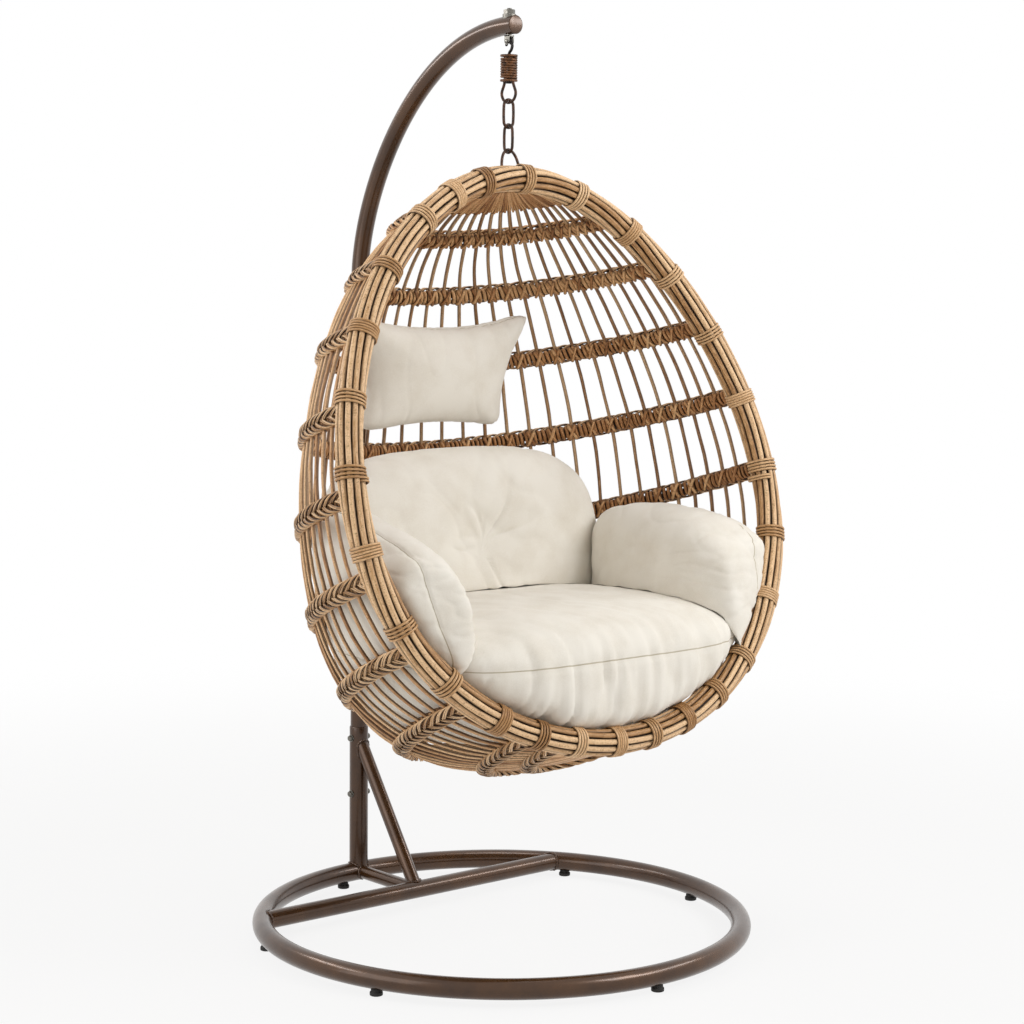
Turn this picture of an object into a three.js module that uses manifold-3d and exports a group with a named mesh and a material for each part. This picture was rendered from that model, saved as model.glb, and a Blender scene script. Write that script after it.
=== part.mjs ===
// Hanging egg chair: a steel stand with a curved arm, a spring and chain, a cane basket and its cushions.
// Millimetres, +Z up. The origin is on the floor, at the middle of the floor ring.
// The chair faces -Y, the post stands at +Y, and the chain hangs on the Z axis.
import * as THREE from 'three';
import { mergeVertices } from 'three/addons/utils/BufferGeometryUtils.js';
import Module from 'manifold-3d';

const wasm = await Module();
wasm.setup();

// ---------------------------------------------------------------- driving dimensions
const GAP = 0.3; // between pieces that touch
const DEG = Math.PI / 180;

// stand
const RING_RADIUS = 506; // of the floor ring's centreline
const RING_TUBE = 42; // diameters of the steel tubes
const POST_TUBE = 42;
const ARM_TUBE = 38;
const CROSS_TUBE = 38;
const BRACE_TUBE = 30;
const CROSS_BAR_Y = 293; // how far behind the middle the cross bar lies
const POST_TOP = 368; // top of the lower post, which the arm plugs into
const ARM_PLUG_DEPTH = 190; // how far the arm goes down into the post
const BRACE_TOP = 312; // where the brace's axis meets the post's front
const ARM_BEND_START = 1369; // the arm runs straight up to here
const ARM_TIP_Z = 1900; // centreline of the arm's level tip
const ARM_TIP_Y = -17; // the tip reaches this far past the chain
const ARM_BEND_LOW = 207; // handle lengths of the arm's bend, below and at the tip
const ARM_BEND_HIGH = 312;
const CAP_THICK = 4;
const CAP_PLUG = 12;
const FOOT_HEIGHT = 12;
const FOOT_PAD = 26;
const FOOT_NECK = 21;
const FOOT_ANGLES = [33, 95, 156, 201, 267, 353]; // round the ring, from +X
const BOLT_D = 8;
const BOLT_HEAD = 13;
const BOLT_HEAD_H = 5.5;
const BOLT_HEIGHTS = { upper: 342, lower: 214 };

// swivel, hook, spring and chain
const STUD_D = 10;
const STUD_NUT = 24;
const STUD_NUT_H = 9;
const SADDLE_D = 28;
const SADDLE_H = 3; // above the top of the arm
const YOKE_WIDTH = 15; // over the two cheeks
const YOKE_DEPTH = 13;
const YOKE_CHEEK = 3;
const YOKE_HEIGHT = 18.5;
const YOKE_ROOM = 1.5; // below the arm, which sags a little behind the swivel, so that the yoke can turn
const PIN_D = 6;
const HOOK_WIRE = 5.5;
const HOOK_DROP = 27; // from the pin's axis to the top of the spring's upper plug
const SPRING_D = 35;
const SPRING_WIRE = 4.6;
const SPRING_TURNS = 8;
const SPRING_PITCH = 5.1;
const PLUG_FLANGE = 36;
const PLUG_FLANGE_H = 4;
const PLUG_CORE = 22;
const PLUG_CORE_H = 9;
const PLUG_NUT = 14;
const PLUG_NUT_H = 4;
const CHAIN_WIRE = 6;
const LOOP_WIDTH = 44; // centreline width of the draw loop
const LOOP_NECK = 28;
const LOOP_LENGTH = 43; // from the lower plug to the loop's lowest centreline
const LINK_LENGTH = 57; // between the centrelines of a link's two ends
const LINK_WIDTH = 23; // centreline
const BAIL_WIDTH = 44;
const BAIL_SINK = 24; // how deep the bail's legs go into the rim

// basket: an egg whose opening leans back
const TILT = 17; // degrees
const RIM_TOP_Y = -22.5; // centreline of the rim's top, a little in front of the chain
const BAIL_HEIGHT = 59.6; // from that centreline up to the bail's top centreline
const RIM_HALF_WIDTH = 546; // of the rim's centreline
const RIM_HALF_HEIGHT = 583;
const RIM_TAPER = 0.127; // narrows the top and widens the bottom
const EGG_DEPTH = 541; // how far the body bulges behind the rim
const EGG_DEPTH_TAPER = 0.42;
const EGG_DEPTH_SWELL = 0.46;
const BAND_FAN = 0.15; // slope by which the bands fan out towards the back
const RIM_BUNDLE = 54; // diameter of the rim's bundle of canes
const RIM_CANES = 6;
const RIM_VALLEY = 0.82; // the bundle's radius between two canes
const BINDING_D = 58;
const BINDING_WIDTH = 30;
const BINDING_EDGE = 2;
const BINDINGS_RIGHT = [2.6, 19.3, 36, 50, 65, 80, 95, 110, 125, 141.5, 153, 163.5, 173]; // from the top
const BINDINGS_LEFT = [11, 21.5, 33, 48.5, 63, 77, 91, 106, 122, 136.5, 150, 159.5, 168.5, 178];
const SLAT_D = 9.6;
const SLAT_TIP = 6; // diameter of a slat's end, inside its hoop
const SLAT_COUNT = 38;
const SLAT_SIDE = 7; // degrees from the rim plane to the first slat
const BAND_FIRST = 31; // degrees from the top of the egg
const BAND_STEP = 16;
const BAND_COUNT = 9;
const BAND_HEIGHT = 28;
const BAND_STRAND = 8; // thickness of the strand on each face of the slats
const BAND_EDGE = 0.62; // a band's outer face is this share of its height
const BAND_STEPS = 16;
const HOOP_TOP = 20; // degrees from the top, of the hoops that the slats end on
const HOOP_BOTTOM = 166;
const HOOP_THICK = 9.4;
const HOOP_HEIGHT = 14;
const TIED_SLATS = 4; // at each side, the outer slats too short to reach the hoops
const CROWN_EDGE = 9; // degrees from the top where the crown's closed weave stops
const PANEL_THICK = 12;

// cushions, as full sizes; `at` is the middle from the rim's lowest centreline, or its highest for the pillow,
// and `turn` the angle by which the front or the top leans down
const SEAT = { size: [800, 540, 280], at: [0, 258, 118], turn: 0, round: 0.75, crown: 0.6, pull: 0.03 };
const BACK = { size: [800, 200, 470], at: [0, 528, 326], turn: 6, round: 0.85, crown: 0.7, pull: 0.03 };
const ARM = { size: [190, 520, 280], at: [398, 243, 278], turn: -12, round: 0.8, crown: 0.75, pull: 0.03 };
const PILLOW = { size: [490, 110, 240], at: [12, 254, -408], turn: -12, round: 0.22, crown: 0.75, pull: 0.09 };
const CUSHION_GAP = 3;
const FRONT_BULGE = 75; // how far the seat may stand out of the rim in the middle
const TUFT_DEPTH = 45;
const TUFT_WIDTH = 70;

// ---------------------------------------------------------------- finishes
const finish = (color, roughness, metalness) => () => new THREE.MeshStandardMaterial({ color, roughness, metalness });
const bronzeSteel = finish(0x5e5147, 0.42, 0.75);
const blackPlastic = finish(0x1d1b1a, 0.6, 0);
const darkSteel = finish(0x2c2826, 0.45, 0.8);
const zincSteel = finish(0xa7a29b, 0.4, 0.85);
const rustSteel = finish(0x54392a, 0.6, 0.5);
const cane = finish(0xb98e62, 0.6, 0);
const darkCane = finish(0x8d6440, 0.65, 0);
const fabric = finish(0xece4d6, 0.9, 0);

// ---------------------------------------------------------------- shape helpers
const v3 = (x, y, z) => new THREE.Vector3(x, y, z);

/** A closed mesh through rings of points that all have the same count. */
function loft(rings, closed = false) {
  const sides = rings[0].length;
  const index = [];
  const spans = closed ? rings.length : rings.length - 1;
  for (let i = 0; i < spans; i += 1) {
    const a = i * sides;
    const b = ((i + 1) % rings.length) * sides;
    for (let j = 0; j < sides; j += 1) {
      const k = (j + 1) % sides;
      index.push(a + j, a + k, b + k, a + j, b + k, b + j);
    }
  }
  if (!closed) {
    const last = (rings.length - 1) * sides;
    for (let j = 1; j < sides - 1; j += 1) {
      index.push(0, j + 1, j, last, last + j, last + j + 1);
    }
  }
  return facesOut(rings.flat(), index);
}

/** A mesh of the points and triangles, turned so that its faces point out. */
function facesOut(points, index) {
  let volume = 0;
  for (let i = 0; i < index.length; i += 3) {
    const [a, b, c] = [points[index[i]], points[index[i + 1]], points[index[i + 2]]];
    volume += a.dot(b.clone().cross(c));
  }
  if (volume < 0) {
    for (let i = 0; i < index.length; i += 3) [index[i], index[i + 1]] = [index[i + 1], index[i]];
  }
  const geometry = new THREE.BufferGeometry().setFromPoints(points);
  geometry.setIndex(index);
  return geometry;
}

/** A round section as a polygon with its first corner at angle zero. */
function roundSection(radius, sides) {
  const corners = [];
  for (let i = 0; i < sides; i += 1) {
    const angle = (2 * Math.PI * i) / sides;
    corners.push(new THREE.Vector2(radius * Math.cos(angle), radius * Math.sin(angle)));
  }
  return new THREE.Shape(corners);
}

/** An open tube along a curve. */
function tube(path, radius, steps, sides) {
  return new THREE.ExtrudeGeometry(roundSection(radius, sides), { steps, extrudePath: path });
}

/** A wire through stops that lie in the plane square to a normal. */
function wire(stops, radius, sides, normal, closed = false) {
  const rings = stops.map((centre, i) => {
    const before = closed ? stops.at(i - 1) : stops[Math.max(i - 1, 0)];
    const after = closed ? stops[(i + 1) % stops.length] : stops[Math.min(i + 1, stops.length - 1)];
    const out = after.clone().sub(before).cross(normal).normalize();
    return Array.from({ length: sides }, (_, j) => {
      const angle = (2 * Math.PI * j) / sides;
      return centre.clone()
        .addScaledVector(out, radius * Math.cos(angle))
        .addScaledVector(normal, radius * Math.sin(angle));
    });
  });
  return loft(rings, closed);
}

/** A round bar between two points. */
function bar(from, to, radius, sides) {
  return tube(new THREE.LineCurve3(from, to), radius, 1, sides);
}

/** A revolved profile of [radius, height] pairs, standing up along Z. */
function turned(profile, sides) {
  const points = profile.map(([r, z]) => new THREE.Vector2(r, z));
  return new THREE.LatheGeometry(points, sides).rotateX(Math.PI / 2);
}

/** The geometry as a solid that can be cut and joined. */
function solid(geometry) {
  const bare = new THREE.BufferGeometry();
  bare.setAttribute('position', geometry.getAttribute('position').clone());
  if (geometry.index) bare.setIndex(geometry.index.clone());
  const joined = mergeVertices(bare, 1e-3);
  return new wasm.Manifold(new wasm.Mesh({
    numProp: 3,
    vertProperties: new Float32Array(joined.getAttribute('position').array),
    triVerts: new Uint32Array(joined.index.array),
  }));
}

/** The solid as a geometry again. */
function surface(body) {
  const mesh = body.getMesh();
  const geometry = new THREE.BufferGeometry();
  geometry.setAttribute('position', new THREE.BufferAttribute(new Float32Array(mesh.vertProperties), 3));
  geometry.setIndex(new THREE.BufferAttribute(new Uint32Array(mesh.triVerts), 1));
  return geometry;
}

/** The geometry with every cutter taken out of it. */
function cut(geometry, ...cutters) {
  return surface(cutters.reduce((body, cutter) => body.subtract(solid(cutter)), solid(geometry)));
}

const chair = new THREE.Group();
const basket = new THREE.Group(); // the egg's own frame: X right, Y back, Z up along the rim plane
basket.rotation.x = -TILT * DEG;
chair.add(basket);

/** Adds a named piece to a group. */
function piece(name, geometry, material, group = chair) {
  const mesh = new THREE.Mesh(geometry, material());
  mesh.name = name;
  group.add(mesh);
  return mesh;
}

// ---------------------------------------------------------------- stand
const TUBE_SIDES = 12;
const ringZ = FOOT_HEIGHT + RING_TUBE / 2;
const postY = RING_RADIUS;

/** The floor ring's tube, grown by a clearance. */
function ringTube(grow = 0) {
  return new THREE.TorusGeometry(RING_RADIUS, RING_TUBE / 2 + grow, 10, 48).translate(0, 0, ringZ);
}

/** The cross bar along X, grown by a clearance. */
function crossTube(grow = 0) {
  const half = Math.sqrt(RING_RADIUS ** 2 - CROSS_BAR_Y ** 2);
  const [left, right] = [v3(-half, CROSS_BAR_Y, ringZ), v3(half, CROSS_BAR_Y, ringZ)];
  return bar(left, right, CROSS_TUBE / 2 + grow, TUBE_SIDES);
}

/** The outside of the lower post as a full bar, grown by a clearance. */
function postBar(grow = 0) {
  return bar(v3(0, postY, ringZ), v3(0, postY, POST_TOP + grow), POST_TUBE / 2 + grow, TUBE_SIDES);
}

/** The short bar from the post's foot to the cross bar, grown by a clearance. */
function shortTube(grow = 0) {
  return bar(v3(0, postY - 6, ringZ), v3(0, CROSS_BAR_Y, ringZ), BRACE_TUBE / 2 + grow, TUBE_SIDES);
}

/** The hole of a through bolt at a height. */
function boltHole(z) {
  const reach = POST_TUBE / 2 + 5;
  return bar(v3(-reach, postY, z), v3(reach, postY, z), BOLT_D / 2 + GAP, 8);
}

const boltHoles = Object.values(BOLT_HEIGHTS).map(boltHole);
piece('base_ring', ringTube(), bronzeSteel);
piece('cross_bar', cut(crossTube(), ringTube(GAP)), bronzeSteel);
piece('short_bar', cut(shortTube(), ringTube(GAP), crossTube(GAP), postBar(GAP)), bronzeSteel);

const armPlugZ = POST_TOP - ARM_PLUG_DEPTH;
const postBore = bar(v3(0, postY, armPlugZ - 2), v3(0, postY, POST_TOP + 5), ARM_TUBE / 2 + GAP, TUBE_SIDES);
piece('lower_post', cut(postBar(), ringTube(GAP), postBore, ...boltHoles), bronzeSteel);

/** The diagonal brace from the post down to the joint of the two bars. */
function brace() {
  const front = postY - POST_TUBE / 2;
  const slope = (BRACE_TOP - ringZ) / (front - CROSS_BAR_Y);
  const top = v3(0, postY, BRACE_TOP + slope * (postY - front));
  const body = bar(top, v3(0, CROSS_BAR_Y, ringZ), BRACE_TUBE / 2, TUBE_SIDES);
  return cut(body, postBar(GAP), crossTube(GAP), shortTube(GAP));
}
piece('brace', brace(), bronzeSteel);

/** The centreline of the curved arm, from its plug in the post to its tip. */
function armPath() {
  const path = new THREE.CurvePath();
  const bendStart = v3(0, postY, ARM_BEND_START);
  const tip = v3(0, ARM_TIP_Y, ARM_TIP_Z);
  path.add(new THREE.LineCurve3(v3(0, postY, armPlugZ), bendStart));
  path.add(new THREE.CubicBezierCurve3(
    bendStart,
    v3(0, postY, ARM_BEND_START + ARM_BEND_LOW),
    v3(0, ARM_TIP_Y + ARM_BEND_HIGH, ARM_TIP_Z),
    tip,
  ));
  return path;
}

/** The arm, grown by a clearance: one ring for the straight run, then evenly round the bend. */
function armTube(grow = 0) {
  const [, bend] = armPath().curves;
  const radius = ARM_TUBE / 2 + grow;
  const steps = 20;
  const rings = [-1, ...Array.from({ length: steps + 1 }, (_, i) => i)].map((i) => {
    const centre = i < 0 ? v3(0, postY, armPlugZ) : bend.getPoint(i / steps);
    const along = i < 0 ? v3(0, 0, 1) : bend.getTangent(i / steps);
    const up = v3(1, 0, 0).cross(along);
    return Array.from({ length: TUBE_SIDES }, (_, j) => {
      const angle = (2 * Math.PI * j) / TUBE_SIDES;
      return centre.clone()
        .add(v3(radius * Math.cos(angle), 0, 0))
        .addScaledVector(up, radius * Math.sin(angle));
    });
  });
  return loft(rings);
}

const studTop = ARM_TIP_Z + ARM_TUBE / 2 + SADDLE_H + STUD_NUT_H;
const studHole = bar(v3(0, 0, ARM_TIP_Z - ARM_TUBE), v3(0, 0, studTop), STUD_D / 2 + GAP, 10);
const capPlug = (ARM_TUBE - 8) / 2;
const capBore = bar(
  v3(0, ARM_TIP_Y - 1, ARM_TIP_Z),
  v3(0, ARM_TIP_Y + CAP_PLUG + 1, ARM_TIP_Z),
  capPlug + GAP,
  TUBE_SIDES,
);
piece('curved_arm', cut(armTube(), studHole, capBore, ...boltHoles), bronzeSteel);

const capProfile = [
  [0, -CAP_PLUG], [capPlug, -CAP_PLUG], [capPlug, GAP], [ARM_TUBE / 2, GAP],
  [ARM_TUBE / 2, CAP_THICK - 1.2], [ARM_TUBE / 2 - 1.2, CAP_THICK], [0, CAP_THICK],
];
piece(
  'arm_end_cap',
  cut(turned(capProfile, TUBE_SIDES).rotateX(Math.PI / 2).translate(0, ARM_TIP_Y, ARM_TIP_Z), studHole),
  bronzeSteel,
);

/** A plastic foot that clips up against the ring. */
function foot(angle) {
  const profile = [
    [0, 0], [FOOT_PAD / 2 - 1, 0], [FOOT_PAD / 2, 1.5], [FOOT_PAD / 2, 7],
    [FOOT_NECK / 2, 9], [FOOT_NECK / 2, ringZ - 12], [0, ringZ - 12],
  ];
  const [x, y] = [RING_RADIUS * Math.cos(angle * DEG), RING_RADIUS * Math.sin(angle * DEG)];
  return cut(turned(profile, 10).translate(x, y, 0), ringTube(GAP));
}
FOOT_ANGLES.forEach((angle, i) => piece(`foot_${i + 1}`, foot(angle), blackPlastic));

/** A hexagonal head or nut on the X axis at a height, from x outwards. */
function hex(x, out, z, across, thick, hole = 0) {
  const body = bar(v3(x, postY, z), v3(x + out * thick, postY, z), across / 2, 6);
  if (!hole) return body;
  return cut(body, bar(v3(x - 1, postY, z), v3(x + out * thick + out, postY, z), hole, 8));
}

Object.entries(BOLT_HEIGHTS).forEach(([name, z]) => {
  const side = POST_TUBE / 2 + GAP;
  const tip = side + BOLT_HEAD_H + 2;
  const shank = bar(v3(-side - 1, postY, z), v3(tip, postY, z), BOLT_D / 2, 8);
  const head = hex(-side, -1, z, BOLT_HEAD, BOLT_HEAD_H);
  piece(`post_bolt_${name}`, surface(solid(shank).add(solid(head))), darkSteel);
  piece(`post_nut_${name}`, hex(side, 1, z, BOLT_HEAD, BOLT_HEAD_H, BOLT_D / 2 + GAP), darkSteel);
});

// ---------------------------------------------------------------- swivel and hook
const armTop = ARM_TIP_Z + ARM_TUBE / 2;
const armUnder = ARM_TIP_Z - ARM_TUBE / 2;
const yokeTop = armUnder - GAP - YOKE_ROOM;
const pinZ = yokeTop - YOKE_HEIGHT + PIN_D / 2 + 3.5;

/** The saddle that gives the stud's nut a level seat on the round arm. */
function saddle() {
  const body = turned([[0, ARM_TIP_Z], [SADDLE_D / 2, ARM_TIP_Z], [SADDLE_D / 2, armTop + SADDLE_H],
    [0, armTop + SADDLE_H]], 16);
  return cut(body, armTube(GAP), studHole);
}
piece('saddle_washer', saddle(), zincSteel);

/** The swivel: a stud through the arm that carries two cheeks under it. */
function yoke() {
  const block = new THREE.BoxGeometry(YOKE_WIDTH, YOKE_DEPTH, YOKE_HEIGHT).translate(0, 0, yokeTop - YOKE_HEIGHT / 2);
  const slotDrop = 2.2;
  const slot = new THREE.BoxGeometry(YOKE_WIDTH - 2 * YOKE_CHEEK, YOKE_DEPTH + 2, YOKE_HEIGHT)
    .translate(0, 0, yokeTop - YOKE_HEIGHT / 2 - slotDrop);
  const stud = bar(v3(0, 0, yokeTop - 1), v3(0, 0, studTop + 3), STUD_D / 2, 10);
  const hole = bar(v3(-YOKE_WIDTH, 0, pinZ), v3(YOKE_WIDTH, 0, pinZ), PIN_D / 2 + GAP, 10);
  return surface(solid(cut(block, slot, hole)).add(solid(stud)));
}
piece('swivel_yoke', yoke(), zincSteel);

const nutZ = armTop + SADDLE_H + GAP;
piece(
  'swivel_nut',
  cut(
    bar(v3(0, 0, nutZ), v3(0, 0, nutZ + STUD_NUT_H), STUD_NUT / 2, 6),
    bar(v3(0, 0, nutZ - 1), v3(0, 0, nutZ + STUD_NUT_H + 1), STUD_D / 2 + GAP, 10),
  ),
  zincSteel,
);

/** The pin across the cheeks, with a head on each end. */
function yokePin() {
  const half = YOKE_WIDTH / 2 + GAP;
  const profile = [[0, -half - 2], [4.5, -half - 2], [4.5, -half], [PIN_D / 2, -half],
    [PIN_D / 2, half], [4.5, half], [4.5, half + 2], [0, half + 2]];
  return turned(profile, 10).rotateY(Math.PI / 2).translate(0, 0, pinZ);
}
piece('yoke_pin', yokePin(), zincSteel);

const plugTop = pinZ - HOOK_DROP;
const springTop = plugTop - PLUG_FLANGE_H - GAP;
const springHeight = SPRING_TURNS * SPRING_PITCH + SPRING_WIRE;
const springBottom = springTop - springHeight;
const lowerPlugTop = springBottom - GAP;
const lowerPlugBottom = lowerPlugTop - PLUG_FLANGE_H;
const coreEnd = springTop - PLUG_CORE_H;

/** Points on an arc in the YZ plane, from one angle to another, with +Y at zero. */
function arcYZ(y, z, radius, from, to, steps) {
  return Array.from({ length: steps + 1 }, (_, i) => {
    const angle = (from + ((to - from) * i) / steps) * DEG;
    return v3(0, y + radius * Math.cos(angle), z + radius * Math.sin(angle));
  });
}

/** Evenly spaced points on a smooth curve through the given ones. */
function smooth(points, steps) {
  return new THREE.CatmullRomCurve3(points, false, 'centripetal').getSpacedPoints(steps);
}

/** The hook: over the pin, out in front, and down through the upper plug. */
function hook() {
  const steps = 8;
  const bend = (PIN_D / 2 + HOOK_WIRE / 2 + 2 * GAP) / Math.cos(Math.PI / 2 / steps);
  const over = arcYZ(0, pinZ, bend, 0, 180, steps);
  const front = smooth([
    over.at(-1),
    v3(0, -bend - 1.5, pinZ - 8),
    v3(0, -3.5, pinZ - 18),
    v3(0, 0, plugTop),
  ], 8).slice(1);
  const stops = [v3(0, bend, pinZ - 7), ...over, ...front, v3(0, 0, coreEnd + 2)];
  return wire(stops, HOOK_WIRE / 2, 8, v3(1, 0, 0));
}
piece('spring_hook', hook(), darkSteel);

/** A flanged plug that holds one end of the spring, with its flange at z and its core going dir. */
function springPlug(flangeFrom, dir, hole) {
  const core = flangeFrom + dir * PLUG_FLANGE_H;
  const profile = [[0, flangeFrom], [PLUG_FLANGE / 2, flangeFrom], [PLUG_FLANGE / 2, core],
    [PLUG_CORE / 2, core], [PLUG_CORE / 2, core + dir * PLUG_CORE_H], [0, core + dir * PLUG_CORE_H]];
  if (dir < 0) profile.reverse();
  const body = turned(profile, 16);
  return hole ? cut(body, ...hole) : body;
}
const shankHole = bar(v3(0, 0, coreEnd - 20), v3(0, 0, plugTop + 1), HOOK_WIRE / 2 + GAP, 8);
piece('upper_spring_plug', springPlug(plugTop, -1, [shankHole]), rustSteel);

/** The coil spring: a single wire whose two ends run out straight. */
function spring() {
  const radius = (SPRING_D - SPRING_WIRE) / 2;
  const top = springTop - SPRING_WIRE / 2;
  const stepsPerTurn = 8;
  const count = SPRING_TURNS * stepsPerTurn;
  const centres = [];
  for (let i = 0; i <= count; i += 1) {
    const angle = (2 * Math.PI * i) / stepsPerTurn;
    centres.push(v3(radius * Math.cos(angle), radius * Math.sin(angle), top - (SPRING_PITCH * i) / stepsPerTurn));
  }
  const ahead = (end, before) => {
    const step = end.clone().sub(before).setZ(0).setLength(SPRING_WIRE);
    return end.clone().add(step);
  };
  centres.unshift(ahead(centres[0], centres[1]));
  centres.push(ahead(centres.at(-1), centres.at(-2)));
  return { geometry: wireThrough(centres, SPRING_WIRE / 2, 5), centres };
}

/** A wire through the given centres, its section held square to the wire and to Z. */
function wireThrough(centres, radius, sides) {
  const rings = centres.map((centre, i) => {
    const before = centres[Math.max(i - 1, 0)];
    const after = centres[Math.min(i + 1, centres.length - 1)];
    const along = after.clone().sub(before).normalize();
    const out = along.clone().cross(v3(0, 0, 1)).normalize();
    const up = out.clone().cross(along);
    return Array.from({ length: sides }, (_, j) => {
      const angle = (2 * Math.PI * j) / sides;
      return centre.clone()
        .addScaledVector(out, radius * Math.cos(angle))
        .addScaledVector(up, radius * Math.sin(angle));
    });
  });
  return loft(rings);
}

/** The least gap between stretches of a wire that are more than half a turn apart. */
function leastGap(centres, wire, apart) {
  let least = Infinity;
  for (let i = 0; i < centres.length; i += 1) {
    for (let j = i + apart; j < centres.length; j += 1) {
      least = Math.min(least, centres[i].distanceTo(centres[j]) - wire);
    }
  }
  return least;
}
const coil = spring();
console.log(`spring: least gap between turns ${leastGap(coil.centres, SPRING_WIRE, 5).toFixed(2)} mm`);
piece('coil_spring', coil.geometry, rustSteel);

// ---------------------------------------------------------------- draw loop and chain
const loopZ = lowerPlugBottom - LOOP_LENGTH; // lowest centreline of the draw loop
const hang = CHAIN_WIRE + GAP; // from a bend's centreline to that of the bend that hangs on it

/** The bell-shaped draw loop under the lower plug, in the YZ plane. */
function drawLoop() {
  const half = LOOP_WIDTH / 2;
  const neck = LOOP_NECK / 2;
  const legTop = lowerPlugTop - 1.5;
  const side = (s) => [
    v3(0, s * neck, legTop),
    v3(0, s * neck, lowerPlugBottom - 4),
    v3(0, s * half, loopZ + 19),
    v3(0, s * half * 0.72, loopZ + 6),
  ];
  const stops = smooth([...side(1), v3(0, 0, loopZ), ...side(-1).reverse()], 22);
  return wire(stops, CHAIN_WIRE / 2, 6, v3(1, 0, 0));
}
piece('draw_loop', drawLoop(), rustSteel);

const legHoles = [1, -1].map((s) => bar(
  v3(0, (s * LOOP_NECK) / 2, lowerPlugBottom - 1),
  v3(0, (s * LOOP_NECK) / 2, lowerPlugTop - 1.5 + GAP),
  CHAIN_WIRE / 2 + GAP,
  8,
));
piece('lower_spring_plug', springPlug(lowerPlugBottom, 1, legHoles), rustSteel);
piece(
  'plug_nut',
  bar(v3(0, 0, lowerPlugBottom - GAP), v3(0, 0, lowerPlugBottom - GAP - PLUG_NUT_H), PLUG_NUT / 2, 6),
  darkSteel,
);

/** A chain link with straight sides, in the YZ plane, whose top centreline is at z. */
function link(topZ) {
  const half = LINK_WIDTH / 2;
  const stops = [
    ...arcYZ(0, topZ - half, half, 0, 180, 8),
    ...arcYZ(0, topZ - LINK_LENGTH + half, half, 180, 360, 8),
  ];
  return wire(stops, CHAIN_WIRE / 2, 6, v3(1, 0, 0), true);
}

const upperLinkTop = loopZ + hang;
const lowerLinkTop = upperLinkTop - LINK_LENGTH + hang;
const bailTop = lowerLinkTop - LINK_LENGTH + hang;
const rimTop = v3(0, RIM_TOP_Y, bailTop - BAIL_HEIGHT);
basket.position.copy(rimTop).sub(v3(0, 0, RIM_HALF_HEIGHT).applyEuler(basket.rotation));
const rimLow = rimTop.clone().sub(v3(0, 0, 2 * RIM_HALF_HEIGHT).applyEuler(basket.rotation));
piece('upper_link', link(upperLinkTop).rotateZ(Math.PI / 2), rustSteel);
piece('lower_link', link(lowerLinkTop), rustSteel);

// ---------------------------------------------------------------- the egg's surface
const rimX = (t) => RIM_HALF_WIDTH * Math.sin(t) * (1 - RIM_TAPER * Math.cos(t));
const rimZ = (t) => RIM_HALF_HEIGHT * Math.cos(t);
const depthAt = (t) => {
  const c = Math.cos(t);
  return EGG_DEPTH * Math.sin(t) * (1 - EGG_DEPTH_TAPER * c + EGG_DEPTH_SWELL * c * c);
};

/** A point of the egg: side angle from the right of the rim, and angle from the top. */
function egg(side, down) {
  const y = depthAt(down) * Math.sin(side);
  return v3(rimX(down) * Math.cos(side), y, rimZ(down) + BAND_FAN * Math.cos(down) * y);
}

/** The egg's directions at a point: along a band, down a slat and out of the surface. */
function eggFrame(side, down) {
  const e = 1e-4;
  const along = egg(side + e, down).sub(egg(side - e, down)).normalize();
  const slat = egg(side, down + e).sub(egg(side, down - e)).normalize();
  const out = slat.clone().cross(along).normalize();
  return { along, slat, out };
}

/** The egg's point moved out by a distance and down the slats by another. */
function eggPoint(side, down, out = 0, drop = 0) {
  const frame = eggFrame(side, down);
  return egg(side, down).addScaledVector(frame.out, out).addScaledVector(frame.slat, drop);
}

const bandAngles = Array.from({ length: BAND_COUNT }, (_, i) => (BAND_FIRST + BAND_STEP * i) * DEG);
const slatStops = [HOOP_TOP * DEG, ...bandAngles, HOOP_BOTTOM * DEG];
const rimReach = BINDING_D / 2 + GAP;
const bandEndDepth = rimReach + BAND_STRAND / 2 + 1;
const slatSideDepth = bandEndDepth + BAND_STRAND / 2 + SLAT_D / 2 + 2;

/** The side angle at which a band or hoop reaches a depth behind the rim plane. */
const sideAt = (down, depth) => Math.asin(Math.min(depth / depthAt(down), 1));

/** One slat down the egg, from the first hoop or band that it has room at to the last. */
function slat(side) {
  const stops = slatStops.filter((down) => depthAt(down) * Math.sin(side) > slatSideDepth);
  const past = 1.6 * DEG;
  const first = stops[0] === HOOP_TOP * DEG ? stops[0] : stops[0] - past;
  const last = stops.at(-1) === HOOP_BOTTOM * DEG ? stops.at(-1) : stops.at(-1) + past;
  const downs = [first, ...stops.filter((down) => down > first && down < last), last];
  return loft(downs.map((down, i) => {
    const { along, out } = eggFrame(side, down);
    const half = (i === 0 || i === downs.length - 1 ? SLAT_TIP : SLAT_D) / 2;
    return [[1, 0], [0, 1], [-1, 0], [0, -1]].map(([a, o]) => egg(side, down)
      .addScaledVector(along, a * half)
      .addScaledVector(out, o * half));
  }));
}

/** A flat hoop round the back of the egg, between two side angles. */
function hoop(down, from, to, steps) {
  const rings = Array.from({ length: steps + 1 }, (_, i) => {
    const side = from + ((to - from) * i) / steps;
    return [[1, 1], [-1, 1], [-1, -1], [1, -1]].map(([s, o]) => eggPoint(
      side, down, (o * HOOP_THICK) / 2, (s * HOOP_HEIGHT) / 2));
  });
  return loft(rings);
}

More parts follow.
